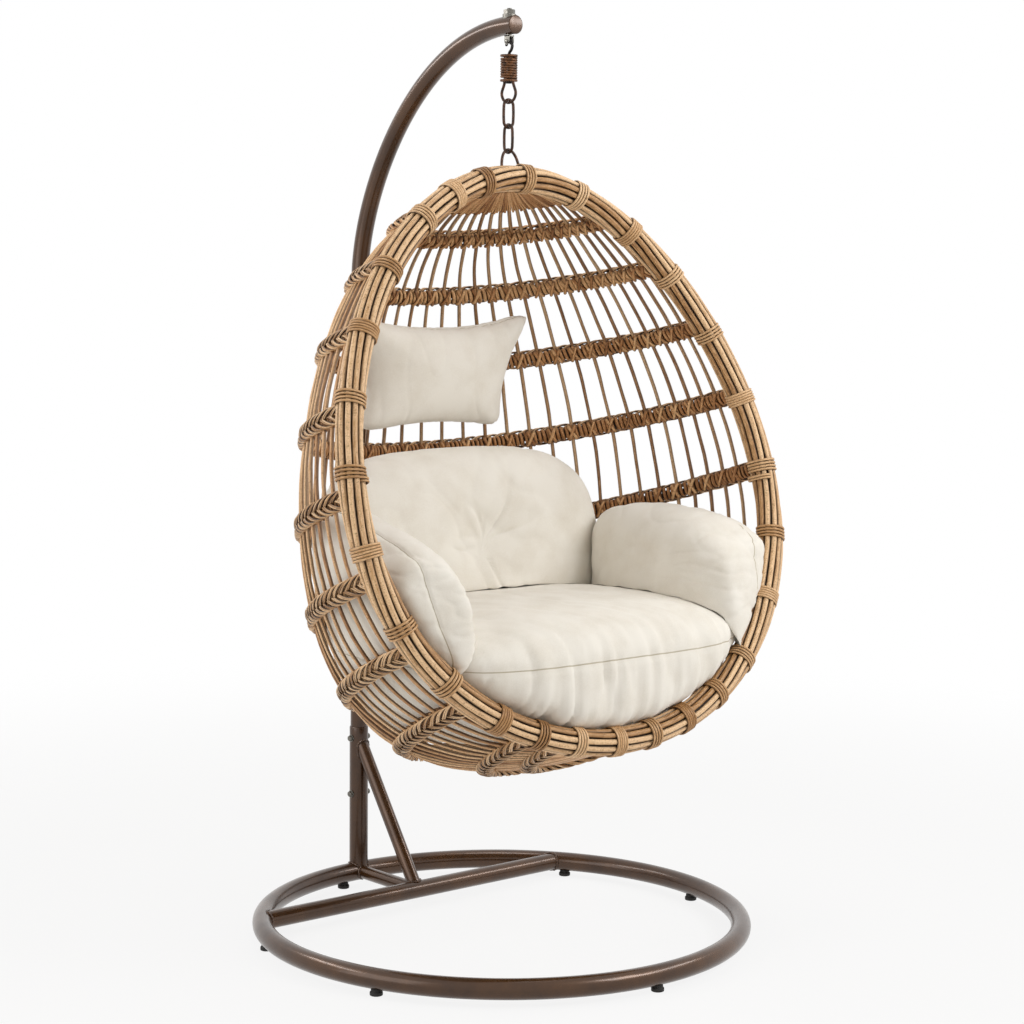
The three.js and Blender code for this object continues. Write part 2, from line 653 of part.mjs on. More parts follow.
/** The slats, ending in a hoop at the top and the bottom and tied at the widest band's two ends. */
function slatFrame() {
  const slatAngle = (i) => (SLAT_SIDE + ((180 - 2 * SLAT_SIDE) * i) / (SLAT_COUNT - 1)) * DEG;
  const bodies = [HOOP_TOP, HOOP_BOTTOM].map((a) => {
    const end = sideAt(a * DEG, slatSideDepth - SLAT_D / 2);
    return solid(hoop(a * DEG, end, Math.PI - end, BAND_STEPS));
  });
  for (const first of [0, SLAT_COUNT - 1 - TIED_SLATS]) {
    bodies.push(solid(hoop(bandAngles[4], slatAngle(first), slatAngle(first + TIED_SLATS), TIED_SLATS)));
  }
  for (let i = 0; i < SLAT_COUNT; i += 1) bodies.push(solid(slat(slatAngle(i))));
  return surface(wasm.Manifold.union(bodies));
}
piece('slat_frame', slatFrame(), darkCane, basket);

/** How far a slat dips inwards from its tangent at a band, within the band's height. */
function slatDip(down, side) {
  const here = egg(side, down);
  const { slat: tangent, out } = eggFrame(side, down);
  const slopes = slatStops.filter((stop) => Math.abs(stop - down) > 1e-6).map((stop) => {
    const chord = egg(side, stop).sub(here);
    return { apart: Math.abs(stop - down), slope: -chord.dot(out) / Math.abs(chord.dot(tangent)) };
  });
  const near = slopes.sort((a, b) => a.apart - b.apart).slice(0, 2);
  return (BAND_HEIGHT / 2) * Math.max(...near.map((n) => n.slope), 0);
}

/** A twined band: a strand on each face of the slats, joined past the outer slats. */
function band(down) {
  const end = sideAt(down, bandEndDepth);
  const turn = sideAt(down, bandEndDepth + BAND_STRAND / 2 + 1.5);
  const step = (Math.PI - 2 * turn) / BAND_STEPS;
  const chord = egg(Math.PI / 2 - step / 2, down).add(egg(Math.PI / 2 + step / 2, down)).multiplyScalar(0.5);
  const chordSag = Math.max(chord.distanceTo(egg(Math.PI / 2, down)), depthAt(down) * (1 - Math.cos(step / 2)));
  const slatSag = Math.max(...[0.2, 0.35, 0.5].map((share) => slatDip(down, share * Math.PI)));
  const near = SLAT_D / 2 + GAP;
  const half = BAND_HEIGHT / 2;
  const sides = Array.from({ length: BAND_STEPS + 1 }, (_, i) => turn + step * i);
  const strand = (face, inner) => (side) => [
    eggPoint(side, down, face * inner, half),
    eggPoint(side, down, face * inner, -half),
    eggPoint(side, down, face * (inner + BAND_STRAND), -half * BAND_EDGE),
    eggPoint(side, down, face * (inner + BAND_STRAND), half * BAND_EDGE),
  ];
  const endRing = (side, turnOut) => {
    const { along, slat: drop } = eggFrame(side, down);
    const at = (a, s) => egg(side, down).addScaledVector(along, a).addScaledVector(drop, s);
    return [
      at((-turnOut * BAND_STRAND) / 2, half),
      at((-turnOut * BAND_STRAND) / 2, -half),
      at((turnOut * BAND_STRAND) / 2, -half * BAND_EDGE),
      at((turnOut * BAND_STRAND) / 2, half * BAND_EDGE),
    ];
  };
  return loft([
    ...sides.map(strand(1, near + chordSag)),
    endRing(Math.PI - end, 1),
    ...[...sides].reverse().map(strand(-1, near + slatSag)),
    endRing(end, -1),
  ], true);
}
piece('crown_band', band(HOOP_TOP * DEG), darkCane, basket);
bandAngles.forEach((down, i) => piece(`band_${i + 1}`, band(down), cane, basket));
piece('base_band', band(HOOP_BOTTOM * DEG), darkCane, basket);

/** The closed weave between the crown band and the rim. */
function crownPanel() {
  const [low, high] = [HOOP_TOP * DEG, CROWN_EDGE * DEG];
  const room = rimReach + PANEL_THICK / 2 + 2;
  const from = -(BAND_HEIGHT / 2 + 1.5);
  const rings = Array.from({ length: 15 }, (_, i) => {
    const at = (down, out, drop) => {
      const end = sideAt(down, room);
      return eggPoint(end + ((Math.PI - 2 * end) * i) / 14, down, (out * PANEL_THICK) / 2, drop);
    };
    return [at(low, -1, from), at(low, 1, from), at(high, 1, 0), at(high, -1, 0)];
  });
  return loft(rings);
}
piece('crown_panel', crownPanel(), darkCane, basket);

// ---------------------------------------------------------------- rim and bail
/** The rim's ring of section points: lobed canes, or round where a binding wraps them. */
function rimRing(t, bound) {
  const centre = v3(rimX(t), 0, rimZ(t));
  const e = 1e-4;
  const along = v3(rimX(t + e) - rimX(t - e), 0, rimZ(t + e) - rimZ(t - e)).normalize();
  const out = v3(-along.z, 0, along.x);
  return Array.from({ length: 2 * RIM_CANES }, (_, j) => {
    const angle = (Math.PI * j) / RIM_CANES;
    const lobe = j % 2 ? RIM_VALLEY : 1;
    const radius = bound ? BINDING_D / 2 : (RIM_BUNDLE / 2) * lobe;
    return centre.clone()
      .addScaledVector(out, radius * Math.cos(angle))
      .add(v3(0, radius * Math.sin(angle), 0));
  });
}

/** The rim: a closed bundle of canes with a wrapped binding at each listed angle. */
function rim() {
  const angles = [...BINDINGS_RIGHT, ...BINDINGS_LEFT.map((a) => 360 - a)].map((a) => a * DEG);
  angles.sort((a, b) => a - b);
  const rings = [];
  for (const t of angles) {
    const e = 1e-4;
    const rate = Math.hypot(rimX(t + e) - rimX(t - e), rimZ(t + e) - rimZ(t - e)) / (2 * e);
    const half = BINDING_WIDTH / 2 / rate;
    const edge = BINDING_EDGE / rate;
    rings.push(rimRing(t - half - edge, false), rimRing(t - half, true));
    rings.push(rimRing(t + half, true), rimRing(t + half + edge, false));
  }
  return loft(rings, true);
}

/** The bail, grown by a clearance: an arch whose two legs go down into the rim. */
function bail(grow = 0) {
  const half = BAIL_WIDTH / 2;
  const lean = rimTop.y / 2;
  const foot = rimTop.z + RIM_BUNDLE / 2 - BAIL_SINK - grow;
  const side = (s) => [
    v3(s * half, 0, foot),
    v3(s * half, 0, (foot + bailTop) / 2),
    v3(s * half * 0.62, 0, bailTop - 8),
  ];
  const stops = smooth([...side(-1), v3(0, 0, bailTop), ...side(1).reverse()], 20);
  const geometry = wire(stops, CHAIN_WIRE / 2 + grow, 6, v3(0, 1, 0));
  const drop = bailTop - foot; // sheared so that the legs lean to the rim and the top stays put
  const points = geometry.getAttribute('position');
  for (let i = 0; i < points.count; i += 1) {
    points.setY(i, points.getY(i) + (lean * (bailTop - points.getZ(i))) / drop);
  }
  return geometry;
}
piece('bail', bail(), rustSteel);

const bailHole = bail(GAP);
bailHole.translate(-basket.position.x, -basket.position.y, -basket.position.z).rotateX(-basket.rotation.x);
piece('rim', cut(rim(), bailHole), cane, basket);

// ---------------------------------------------------------------- cushions
const power = (value, exponent) => Math.sign(value) * Math.abs(value) ** exponent;

/** Whether a point is inside the basket, clear of the slats and the rim, and not too far out in front. */
function insideBasket(point, inset) {
  const p = point.clone().sub(basket.position).applyAxisAngle(v3(1, 0, 0), -basket.rotation.x);
  const blend = Math.min(Math.max((p.y - 30) / 40, 0), 1);
  const slatRoom = SLAT_D / 2 + BAND_STRAND + 6;
  const room = (rimReach + 2) * (1 - blend) + slatRoom * blend + inset;
  const y = Math.max(p.y, 0);
  const c = p.z / (RIM_HALF_HEIGHT - room + BAND_FAN * y);
  if (Math.abs(c) >= 1) return false;
  const down = Math.acos(c);
  const [halfX, halfY] = [rimX(down) - room, depthAt(down) - room];
  if (halfX <= 0 || halfY <= 0) return false;
  const front = -FRONT_BULGE * (1 - Math.min((p.x / halfX) ** 2, 1)) - 5;
  return p.y > front && (p.x / halfX) ** 2 + (y / halfY) ** 2 < 1;
}

/** The point, drawn straight towards a centre until it is inside the basket. */
function drawnIn(point, centre, inset) {
  if (insideBasket(point, inset)) return point;
  let [low, high] = [0, 1];
  for (let i = 0; i < 20; i += 1) {
    const middle = (low + high) / 2;
    if (insideBasket(centre.clone().lerp(point, middle), inset)) low = middle;
    else high = middle;
  }
  return centre.clone().lerp(point, low);
}

/** A stuffed cushion: crowned faces, rounded corners and sides that pull in between them. */
function cushion({ size, at, turn, round, crown, pull }, options = {}) {
  const { grow = 0, inset = 0, flat = 'z', cols = 24, rows = 12 } = options;
  const { tuft = 0, fit = true, mirror = 1, from = rimLow } = options;
  const half = size.map((s) => s / 2 + grow);
  const centre = v3(at[0] * mirror, at[1], at[2]).add(from);
  const place = (a, b, c) => {
    // a and b run across the face, c through the thickness
    const [ia, ib, ic] = { z: [0, 1, 2], y: [0, 2, 1], x: [1, 2, 0] }[flat];
    const p = [0, 0, 0];
    const dent = tuft * Math.exp(-(((a * half[ia]) ** 2 + (b * half[ib]) ** 2) / TUFT_WIDTH ** 2));
    p[ia] = a * half[ia] * (1 - pull * (1 - b * b));
    p[ib] = b * half[ib] * (1 - pull * (1 - a * a));
    p[ic] = c * (half[ic] - (c < 0 ? dent : 0));
    const local = v3(...p).applyAxisAngle(v3(1, 0, 0), -turn * DEG);
    const point = local.add(centre);
    return fit ? drawnIn(point, centre, inset) : point;
  };
  const points = [place(0, 0, -1)];
  for (let i = 1; i < rows; i += 1) {
    const lift = (Math.PI * i) / rows - Math.PI / 2;
    const spread = power(Math.cos(lift), crown);
    for (let j = 0; j < cols; j += 1) {
      const angle = (2 * Math.PI * j) / cols;
      points.push(place(
        spread * power(Math.cos(angle), round),
        spread * power(Math.sin(angle), round),
        power(Math.sin(lift), crown),
      ));
    }
  }
  points.push(place(0, 0, 1));
  const index = [];
  const at2 = (row, col) => 1 + row * cols + (col % cols);
  for (let j = 0; j < cols; j += 1) {
    index.push(0, at2(0, j + 1), at2(0, j));
    index.push(points.length - 1, at2(rows - 2, j), at2(rows - 2, j + 1));
    for (let i = 0; i < rows - 2; i += 1) {
      index.push(at2(i, j), at2(i, j + 1), at2(i + 1, j + 1), at2(i, j), at2(i + 1, j + 1), at2(i + 1, j));
    }
  }
  return facesOut(points, index);
}

const SEAT_MESH = { flat: 'z', cols: 28, rows: 12 };
const BACK_MESH = { flat: 'y', cols: 24, rows: 12, tuft: TUFT_DEPTH, inset: 3 };
const ARM_MESH = { flat: 'x', cols: 20, rows: 12, inset: 6 };
const PILLOW_MESH = { flat: 'y', cols: 24, rows: 8, from: rimTop };

/** The room that a cushion needs, as it is and as it would be without the basket round it. */
const roomOf = (form, mesh) => [true, false].map(
  (fit) => cushion(form, { ...mesh, tuft: 0, grow: CUSHION_GAP, fit }));
const seatRoom = roomOf(SEAT, SEAT_MESH);
const backRoom = roomOf(BACK, BACK_MESH);
piece('seat_cushion', cushion(SEAT, SEAT_MESH), fabric);
piece('back_cushion', cut(cushion(BACK, BACK_MESH), ...seatRoom), fabric);
for (const [name, mirror] of [['right', 1], ['left', -1]]) {
  const arm = cushion(ARM, { ...ARM_MESH, mirror });
  piece(`${name}_arm_cushion`, cut(arm, ...seatRoom, ...backRoom), fabric);
}
piece('head_pillow', cushion(PILLOW, PILLOW_MESH), fabric);

export default chair;
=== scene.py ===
"""Hanging egg chair: the finished look of its steel stand, chain, woven cane basket and cushions.

Lengths are written in millimetres and turned to metres when a mesh is made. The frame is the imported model's:
+Z up, the basket opens towards -Y, the post stands at +Y and the chain hangs on the Z axis.
"""

from __future__ import annotations

import logging
import math
from collections.abc import Callable, Sequence
from dataclasses import asdict, dataclass, field
from enum import Enum

import bmesh
import bpy
import numpy as np
from mathutils import Matrix, Vector, noise
from mathutils.bvhtree import BVHTree

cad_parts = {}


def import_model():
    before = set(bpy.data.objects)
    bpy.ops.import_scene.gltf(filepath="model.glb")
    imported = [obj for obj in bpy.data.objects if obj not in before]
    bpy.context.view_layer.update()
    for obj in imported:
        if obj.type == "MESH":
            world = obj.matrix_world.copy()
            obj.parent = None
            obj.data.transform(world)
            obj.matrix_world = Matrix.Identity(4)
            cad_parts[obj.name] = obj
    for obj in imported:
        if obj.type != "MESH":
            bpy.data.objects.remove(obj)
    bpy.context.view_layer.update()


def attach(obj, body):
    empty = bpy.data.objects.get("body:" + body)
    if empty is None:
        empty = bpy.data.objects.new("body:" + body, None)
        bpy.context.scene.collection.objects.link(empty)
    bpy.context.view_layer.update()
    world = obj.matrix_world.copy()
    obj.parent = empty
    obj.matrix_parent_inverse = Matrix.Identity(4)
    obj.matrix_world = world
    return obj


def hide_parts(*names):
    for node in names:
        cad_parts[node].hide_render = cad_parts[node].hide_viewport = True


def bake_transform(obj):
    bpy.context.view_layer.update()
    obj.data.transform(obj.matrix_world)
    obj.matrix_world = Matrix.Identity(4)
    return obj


log = logging.getLogger("egg_chair")

MM = 0.001
TAU = 2 * math.pi
X, Y, Z = Vector((1, 0, 0)), Vector((0, 1, 0)), Vector((0, 0, 1))
Socket = bpy.types.NodeSocket
Frame = tuple[Vector, Vector, Vector]
Profile = Sequence[tuple[float, float]]
Skin = Callable[[Vector], float]
Angles = tuple[float, ...]
OUTLINE_SAMPLES = 8001


class Body(Enum):
    """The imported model's bodies."""

    STAND = "stand"
    SWIVEL = "swivel"
    HOOK = "hook"
    DRAW = "draw"
    UPPER_LINK = "upper_link"
    LOWER_LINK = "lower_link"
    BASKET = "basket"


# ------------------------------------------------------------------ nodes


def linear(code: str) -> tuple[float, float, float, float]:
    """Turn an sRGB hex colour into linear red, green and blue with an alpha of one."""
    parts = [int(code[i : i + 2], 16) / 255 for i in (1, 3, 5)]
    red, green, blue = (c / 12.92 if c <= 0.04045 else ((c + 0.055) / 1.055) ** 2.4 for c in parts)
    return red, green, blue, 1.0


class Nodes:
    """Adds nodes to a tree, with short calls for the kinds that repeat."""

    def __init__(self, tree: bpy.types.NodeTree) -> None:
        """Keep the tree that gets the nodes."""
        self.tree = tree

    def feed(self, node: bpy.types.Node, inputs: dict) -> None:
        """Link inputs of a node from sockets, or set them to values.

        Args:
            node: The node.
            inputs: Input name or number to a value, or to the socket that it is linked from.
        """
        for key, value in inputs.items():
            if isinstance(value, Socket):
                self.tree.links.new(value, node.inputs[key])
            else:
                node.inputs[key].default_value = value

    def add(self, kind: str, inputs: dict | None = None, **settings: object) -> bpy.types.Node:
        """Add a node.

        Args:
            kind: The node's type name.
            inputs: What feeds its inputs.
            **settings: Properties of the node itself.

        Returns:
            The new node.
        """
        node = self.tree.nodes.new(kind)
        for name, value in settings.items():
            setattr(node, name, value)
        self.feed(node, inputs or {})
        return node

    def math(self, operation: str, *values: Socket | float) -> Socket:
        """The result of a sum on numbers."""
        return self.add("ShaderNodeMath", dict(enumerate(values)), operation=operation).outputs[0]

    def vector(self, operation: str, *values: Socket | tuple[float, ...]) -> Socket:
        """The vector that a sum on vectors gives."""
        return self.add("ShaderNodeVectorMath", dict(enumerate(values)), operation=operation).outputs[0]

    def measure(self, operation: str, *values: Socket) -> Socket:
        """The number that a sum on vectors gives."""
        return self.add("ShaderNodeVectorMath", dict(enumerate(values)), operation=operation).outputs["Value"]

    def scale(self, vector: Socket, by: Socket) -> Socket:
        """A vector times a number."""
        return self.add("ShaderNodeVectorMath", {0: vector, "Scale": by}, operation="SCALE").outputs[0]

    def noise(self, place: Socket, scale: float, detail: float = 2.0, roughness: float = 0.5) -> Socket:
        """The strength of a noise pattern."""
        inputs = {"Vector": place, "Scale": scale, "Detail": detail, "Roughness": roughness}
        return self.add("ShaderNodeTexNoise", inputs).outputs["Fac"]

    def fade(
        self,
        value: Socket,
        low: float,
        high: float,
        start: float = 0.0,
        stop: float = 1.0,
        kind: str = "LINEAR",
    ) -> Socket:
        """A number that runs from start to stop while the value runs from low to high."""
        inputs = {"Value": value, "From Min": low, "From Max": high, "To Min": start, "To Max": stop}
        return self.add("ShaderNodeMapRange", inputs, interpolation_type=kind).outputs["Result"]

    def mix(self, share: Socket, first: object, second: object) -> Socket:
        """A colour part of the way from one colour to another."""
        return self.add("ShaderNodeMix", {0: share, 6: first, 7: second}, data_type="RGBA").outputs[2]

    def ramp(self, value: Socket, *stops: tuple[float, str]) -> Socket:
        """A colour from a ramp.

        Args:
            value: Where on the ramp it is.
            *stops: The ramp's positions with their hex colours, in order.

        Returns:
            The colour.
        """
        node = self.add("ShaderNodeValToRGB", {"Fac": value})
        elements = node.color_ramp.elements
        for element, (position, code) in zip(tuple(elements), (stops[0], stops[-1])):
            element.position, element.color = position, linear(code)
        for position, code in stops[1:-1]:
            elements.new(position).color = linear(code)
        return node.outputs["Color"]

    def bump(self, height: Socket, strength: float, distance: float) -> Socket:
        """A surface normal bent by a height, at a distance in millimetres."""
        inputs = {"Height": height, "Strength": strength, "Distance": distance * MM}
        return self.add("ShaderNodeBump", inputs).outputs["Normal"]

    def object_place(self) -> Socket:
        """The place on the object, in metres."""
        return self.add("ShaderNodeTexCoord").outputs["Object"]

    def attribute(self, name: str) -> Socket:
        """A mesh attribute, read in a material."""
        return self.add("ShaderNodeAttribute", attribute_name=name).outputs["Fac"]

    def named(self, name: str, kind: str = "FLOAT") -> Socket:
        """A mesh attribute, read in geometry nodes."""
        node = self.add("GeometryNodeInputNamedAttribute", {"Name": name}, data_type=kind)
        return node.outputs["Attribute"]

    def store(
        self, geometry: Socket, name: str, value: Socket, kind: str = "FLOAT", domain: str = "POINT"
    ) -> Socket:
        """The geometry with a value kept on it as an attribute."""
        inputs = {"Geometry": geometry, "Name": name, "Value": value}
        made = self.add("GeometryNodeStoreNamedAttribute", inputs, data_type=kind, domain=domain)
        return made.outputs["Geometry"]

    def seen_directly(self) -> Socket:
        """One for the camera's rays and for mirrored ones, and nothing for the light's."""
        path = self.add("ShaderNodeLightPath").outputs
        return self.math("MAXIMUM", path["Is Camera Ray"], path["Is Glossy Ray"])


# ------------------------------------------------------------------ finishes


@dataclass(frozen=True)
class Finish:
    """A surface finish with the numbers that all of them share."""

    name: str
    roughness: float
    metallic: float = 0.0
    slot: str = ""

    def dress(self, nodes: Nodes) -> dict[str, object]:
        """The shader's own inputs: name to a value or a socket."""
        raise NotImplementedError

    def build(self) -> bpy.types.Material:
        """Make the finished material.

        Returns:
            The material.
        """
        material = bpy.data.materials.new(self.name)
        material.use_nodes = True
        nodes = Nodes(material.node_tree)
        shader = material.node_tree.nodes["Principled BSDF"]
        nodes.feed(shader, {"Roughness": self.roughness, "Metallic": self.metallic})
        nodes.feed(shader, self.dress(nodes))
        return material


@dataclass(frozen=True)
class MottledMetal(Finish):
    """Metal or a coat on it whose colour drifts between two tones, with a fine relief."""

    tones: tuple[str, str] = ("#808080", "#909090")
    patch: float = 30.0
    grit: float = 1.0
    relief: float = 0.05
    wear: float = 0.08
    coat: float = 0.0
    coat_roughness: float = 0.16

    def dress(self, nodes: Nodes) -> dict[str, object]:
        """Patches in the tone and the gloss, and a fine grit in the relief.

        Args:
            nodes: The material's nodes.

        Returns:
            The shader's inputs.
        """
        place = nodes.object_place()
        drift = nodes.noise(place, 1000 / self.patch, 5.0, 0.6)
        return {
            "Base Color": nodes.ramp(drift, (0.34, self.tones[0]), (0.68, self.tones[1])),
            "Roughness": nodes.fade(drift, 0.3, 0.7, self.roughness + self.wear, self.roughness - self.wear),
            "Normal": nodes.bump(nodes.noise(place, 1000 / self.grit), self.relief, self.grit),
            "Coat Weight": self.coat,
            "Coat Roughness": self.coat_roughness,
        }


@dataclass(frozen=True)
class Cane(Finish):
    """Peeled cane: lengthwise fibres, cross marks of the bark, specks, and painted shade between the strands.
    """

    tones: tuple[str, str, str] = ("#6b4526", "#b98755", "#dcb78a")
    # Painted shade: the dark colour that skin facing in between the strands takes.
    groove: str = "#24130a"
    fibre: float = 2.0
    fibre_length: float = 45.0
    speck: float = 6.0
    mark: float = 5.0
    mark_depth: float = 0.6
    strand_spread: float = 0.42

    def dress(self, nodes: Nodes) -> dict[str, object]:
        """The cane's pattern from the strands' own run, round, tone and facing attributes, with painted shade
        on skin that faces in.

        Args:
            nodes: The material's nodes.

        Returns:
            The shader's inputs.
        """
        names = ("grain_run", "grain_round", "strand_tone", "shade_facing")
        run, turn, tone, facing = (nodes.attribute(name) for name in names)
        angle = nodes.math("MULTIPLY", turn, TAU)
        side, face = nodes.math("COSINE", angle), nodes.math("SINE", angle)

        def grain(length: float, start: float, detail: float) -> Socket:
            """A noise drawn out along the strand, which starts elsewhere on each strand."""
            along = nodes.math("MULTIPLY", run, 1000 / length)
            shift = nodes.math("MULTIPLY_ADD", tone, start, along)
            place = nodes.add("ShaderNodeCombineXYZ", {"X": side, "Y": face, "Z": shift}).outputs["Vector"]
            return nodes.noise(place, self.fibre, detail, 0.65)

        fibres, marks = grain(self.fibre_length, 37.0, 4.0), grain(self.mark, 91.0, 2.0)
        specks = nodes.noise(nodes.object_place(), 1000 / self.speck, 3.0, 0.7)
        dark, middle, pale = self.tones
        toned = nodes.math("MULTIPLY_ADD", tone, self.strand_spread, fibres)
        shade = nodes.ramp(toned, (0.4, dark), (0.62, middle), (0.92, pale))
        for pattern, start, stop in ((marks, 0.54, 0.66), (specks, 0.58, 0.7)):
            shade = nodes.mix(nodes.fade(pattern, start, stop, 0.0, self.mark_depth), shade, linear(dark))
        # Painted shade: where the skin turns in towards its guide, the colour runs to the dark groove colour.
        unshaded = nodes.fade(facing, -0.1, 0.8, kind="SMOOTHSTEP")
        rough = nodes.math("MULTIPLY_ADD", marks, 0.6, fibres)
        return {
            "Base Color": nodes.mix(unshaded, linear(self.groove), shade),
            "Normal": nodes.bump(rough, 0.5, 0.8),
        }


@dataclass(frozen=True)
class Canvas(Finish):
    """Heavy cotton canvas: a matt weave with slubs, faint mottling and grooves at the seams."""

    colour: str = "#ebe7de"
    shade: str = "#dfd9cd"
    groove: str = "#b5a992"
    thread: float = 2.2
    sheen: float = 0.18

    def dress(self, nodes: Nodes) -> dict[str, object]:
        """The slubs in the tone and the relief, and a dark groove at each seam.

        Args:
            nodes: The material's nodes.

        Returns:
            The shader's inputs.
        """
        place = nodes.object_place()
        slub = nodes.noise(place, 1000 / self.thread, 2.0, 0.7)
        mottled = nodes.math("MULTIPLY_ADD", slub, 0.5, nodes.noise(place, 14.0, 4.0))
        cloth = nodes.ramp(mottled, (0.45, self.shade), (0.85, self.colour))
        flat = nodes.fade(nodes.math("ABSOLUTE", nodes.attribute("seam")), 0.3 * MM, 2 * MM)
        return {
            "Base Color": nodes.mix(flat, linear(self.groove), cloth),
            "Normal": nodes.bump(nodes.math("MULTIPLY_ADD", slub, 0.25, flat), 0.5, 1.2),
            "Sheen Weight": self.sheen,
            "Sheen Roughness": 0.5,
        }


# Satin powder coat on steel tube: a dark bronze with a fine orange peel and long pale highlights.
POWDER_COAT = MottledMetal(
    "satin powder coat", 0.3, 0.5, "stand_steel", ("#3b220a", "#503214"), 90.0, 1.6, 0.01, 0.05, coat=0.5
)
# Zinc plate that has dulled: mid grey with a faint bloom.
ZINC_PLATE = MottledMetal(
    "dulled zinc plate", 0.34, 0.9, "zinc_steel", ("#68655f", "#7f7c75"), 9.0, 0.5, 0.03
)
# Black oxide on small steel: near black with an oily sheen.
BLACK_OXIDE = MottledMetal("black oxide", 0.42, 0.6, "dark_steel", ("#171412", "#2a2522"), 12.0, 0.6, 0.1)
# Rusted iron: brown scale with lighter ochre patches and a rough skin.
RUSTED_IRON = MottledMetal("rusted iron", 0.5, 0.3, "rust_steel", ("#34200f", "#7d4f28"), 9.0, 0.9, 0.4, 0.1)
# The chain's iron: the same scale in darker tones.
WORN_IRON = MottledMetal(
    "worn dark iron", 0.45, 0.4, "rust_steel", ("#1c1108", "#55341d"), 9.0, 0.9, 0.3, 0.1
)
# Moulded rubber: flat black.
RUBBER = MottledMetal("moulded rubber", 0.7, 0.0, "foot_plastic", ("#161514", "#242220"), 6.0, 0.6)
# Peeled cane on the outside and the rim: pale beige with brown between the fibres.
PALE_CANE = Cane("peeled cane", 0.48, slot="cane", tones=("#744b26", "#ba8c58", "#f0cb9e"))
# Thinner cane of the slats: a warmer beige.
SLAT_CANE = Cane("split slat cane", 0.5, slot="cane", tones=("#8a5a33", "#c79868", "#f2cb9d"))
# Smoked cane of the inner weave: browner and a little duller.
SMOKED_CANE = Cane("smoked cane", 0.55, slot="dark_cane", tones=("#643f1b", "#b37c49", "#ebbf8b"))
# A dark core in the heart of the bundle, put there as painted shade: dark brown, seen only in the grooves
# between the canes.
SHADE_CORE_CANE = Cane("shade core cane", 0.7, slot="dark_cane", tones=("#24170d", "#342214", "#452e1c"))
# Undyed cotton canvas.
COTTON = Canvas("undyed cotton canvas", 0.92, slot="fabric")


# ------------------------------------------------------------------ meshes


def link_object(name: str, mesh: bpy.types.Mesh, material: bpy.types.Material | None) -> bpy.types.Object:
    """Make an object of the mesh in the scene, with the material on it."""
    if material is not None and not mesh.materials:
        mesh.materials.append(material)
    made = bpy.data.objects.new(name, mesh)
    bpy.context.scene.collection.objects.link(made)
    return made


def circle(centre: Vector, out: Vector, rise: Vector, radius: float, sides: int) -> list[Vector]:
    """Points round a centre, which start out one way and turn towards the other."""
    turns = (TAU * j / sides for j in range(sides))
    return [centre + out * (radius * math.cos(a)) + rise * (radius * math.sin(a)) for a in turns]


def smooth_path(stops: Sequence[Vector], count: int) -> list[Vector]:
    """Evenly spaced points on a centripetal curve through the stops.

    Args:
        stops: The points that the curve passes through.
        count: How many spans the result has.

    Returns:
        The points, one more than the spans.
    """
    ends = [stops[0] * 2 - stops[1], *stops, stops[-1] * 2 - stops[-2]]
    fine: list[Vector] = []
    for i in range(len(ends) - 3):
        p = ends[i : i + 4]
        knots = [0.0]
        for a, b in zip(p, p[1:]):
            knots.append(knots[-1] + max((b - a).length, 1e-9) ** 0.5)
        for step in range(24):
            t = knots[1] + (knots[2] - knots[1]) * step / 24
            near = [p[j].lerp(p[j + 1], (t - knots[j]) / (knots[j + 1] - knots[j])) for j in range(3)]
            wide = [near[j].lerp(near[j + 1], (t - knots[j]) / (knots[j + 2] - knots[j])) for j in range(2)]
            fine.append(wide[0].lerp(wide[1], (t - knots[1]) / (knots[2] - knots[1])))
    fine.append(stops[-1].copy())
    return even_points(fine, count)


def even_points(points: Sequence[Vector], count: int) -> list[Vector]:
    """The same path with evenly spaced points.

    Args:
        points: A fine path.
        count: How many spans the result has.

    Returns:
        The points, one more than the spans.
    """
    runs = [0.0]
    for a, b in zip(points, points[1:]):
        runs.append(runs[-1] + (b - a).length)
    made, at = [], 0
    for i in range(count + 1):
        target = runs[-1] * i / count
        while at < len(runs) - 2 and runs[at + 1] < target:
            at += 1
        span = runs[at + 1] - runs[at]
        made.append(points[at].lerp(points[at + 1], (target - runs[at]) / span if span else 0.0))
    return made


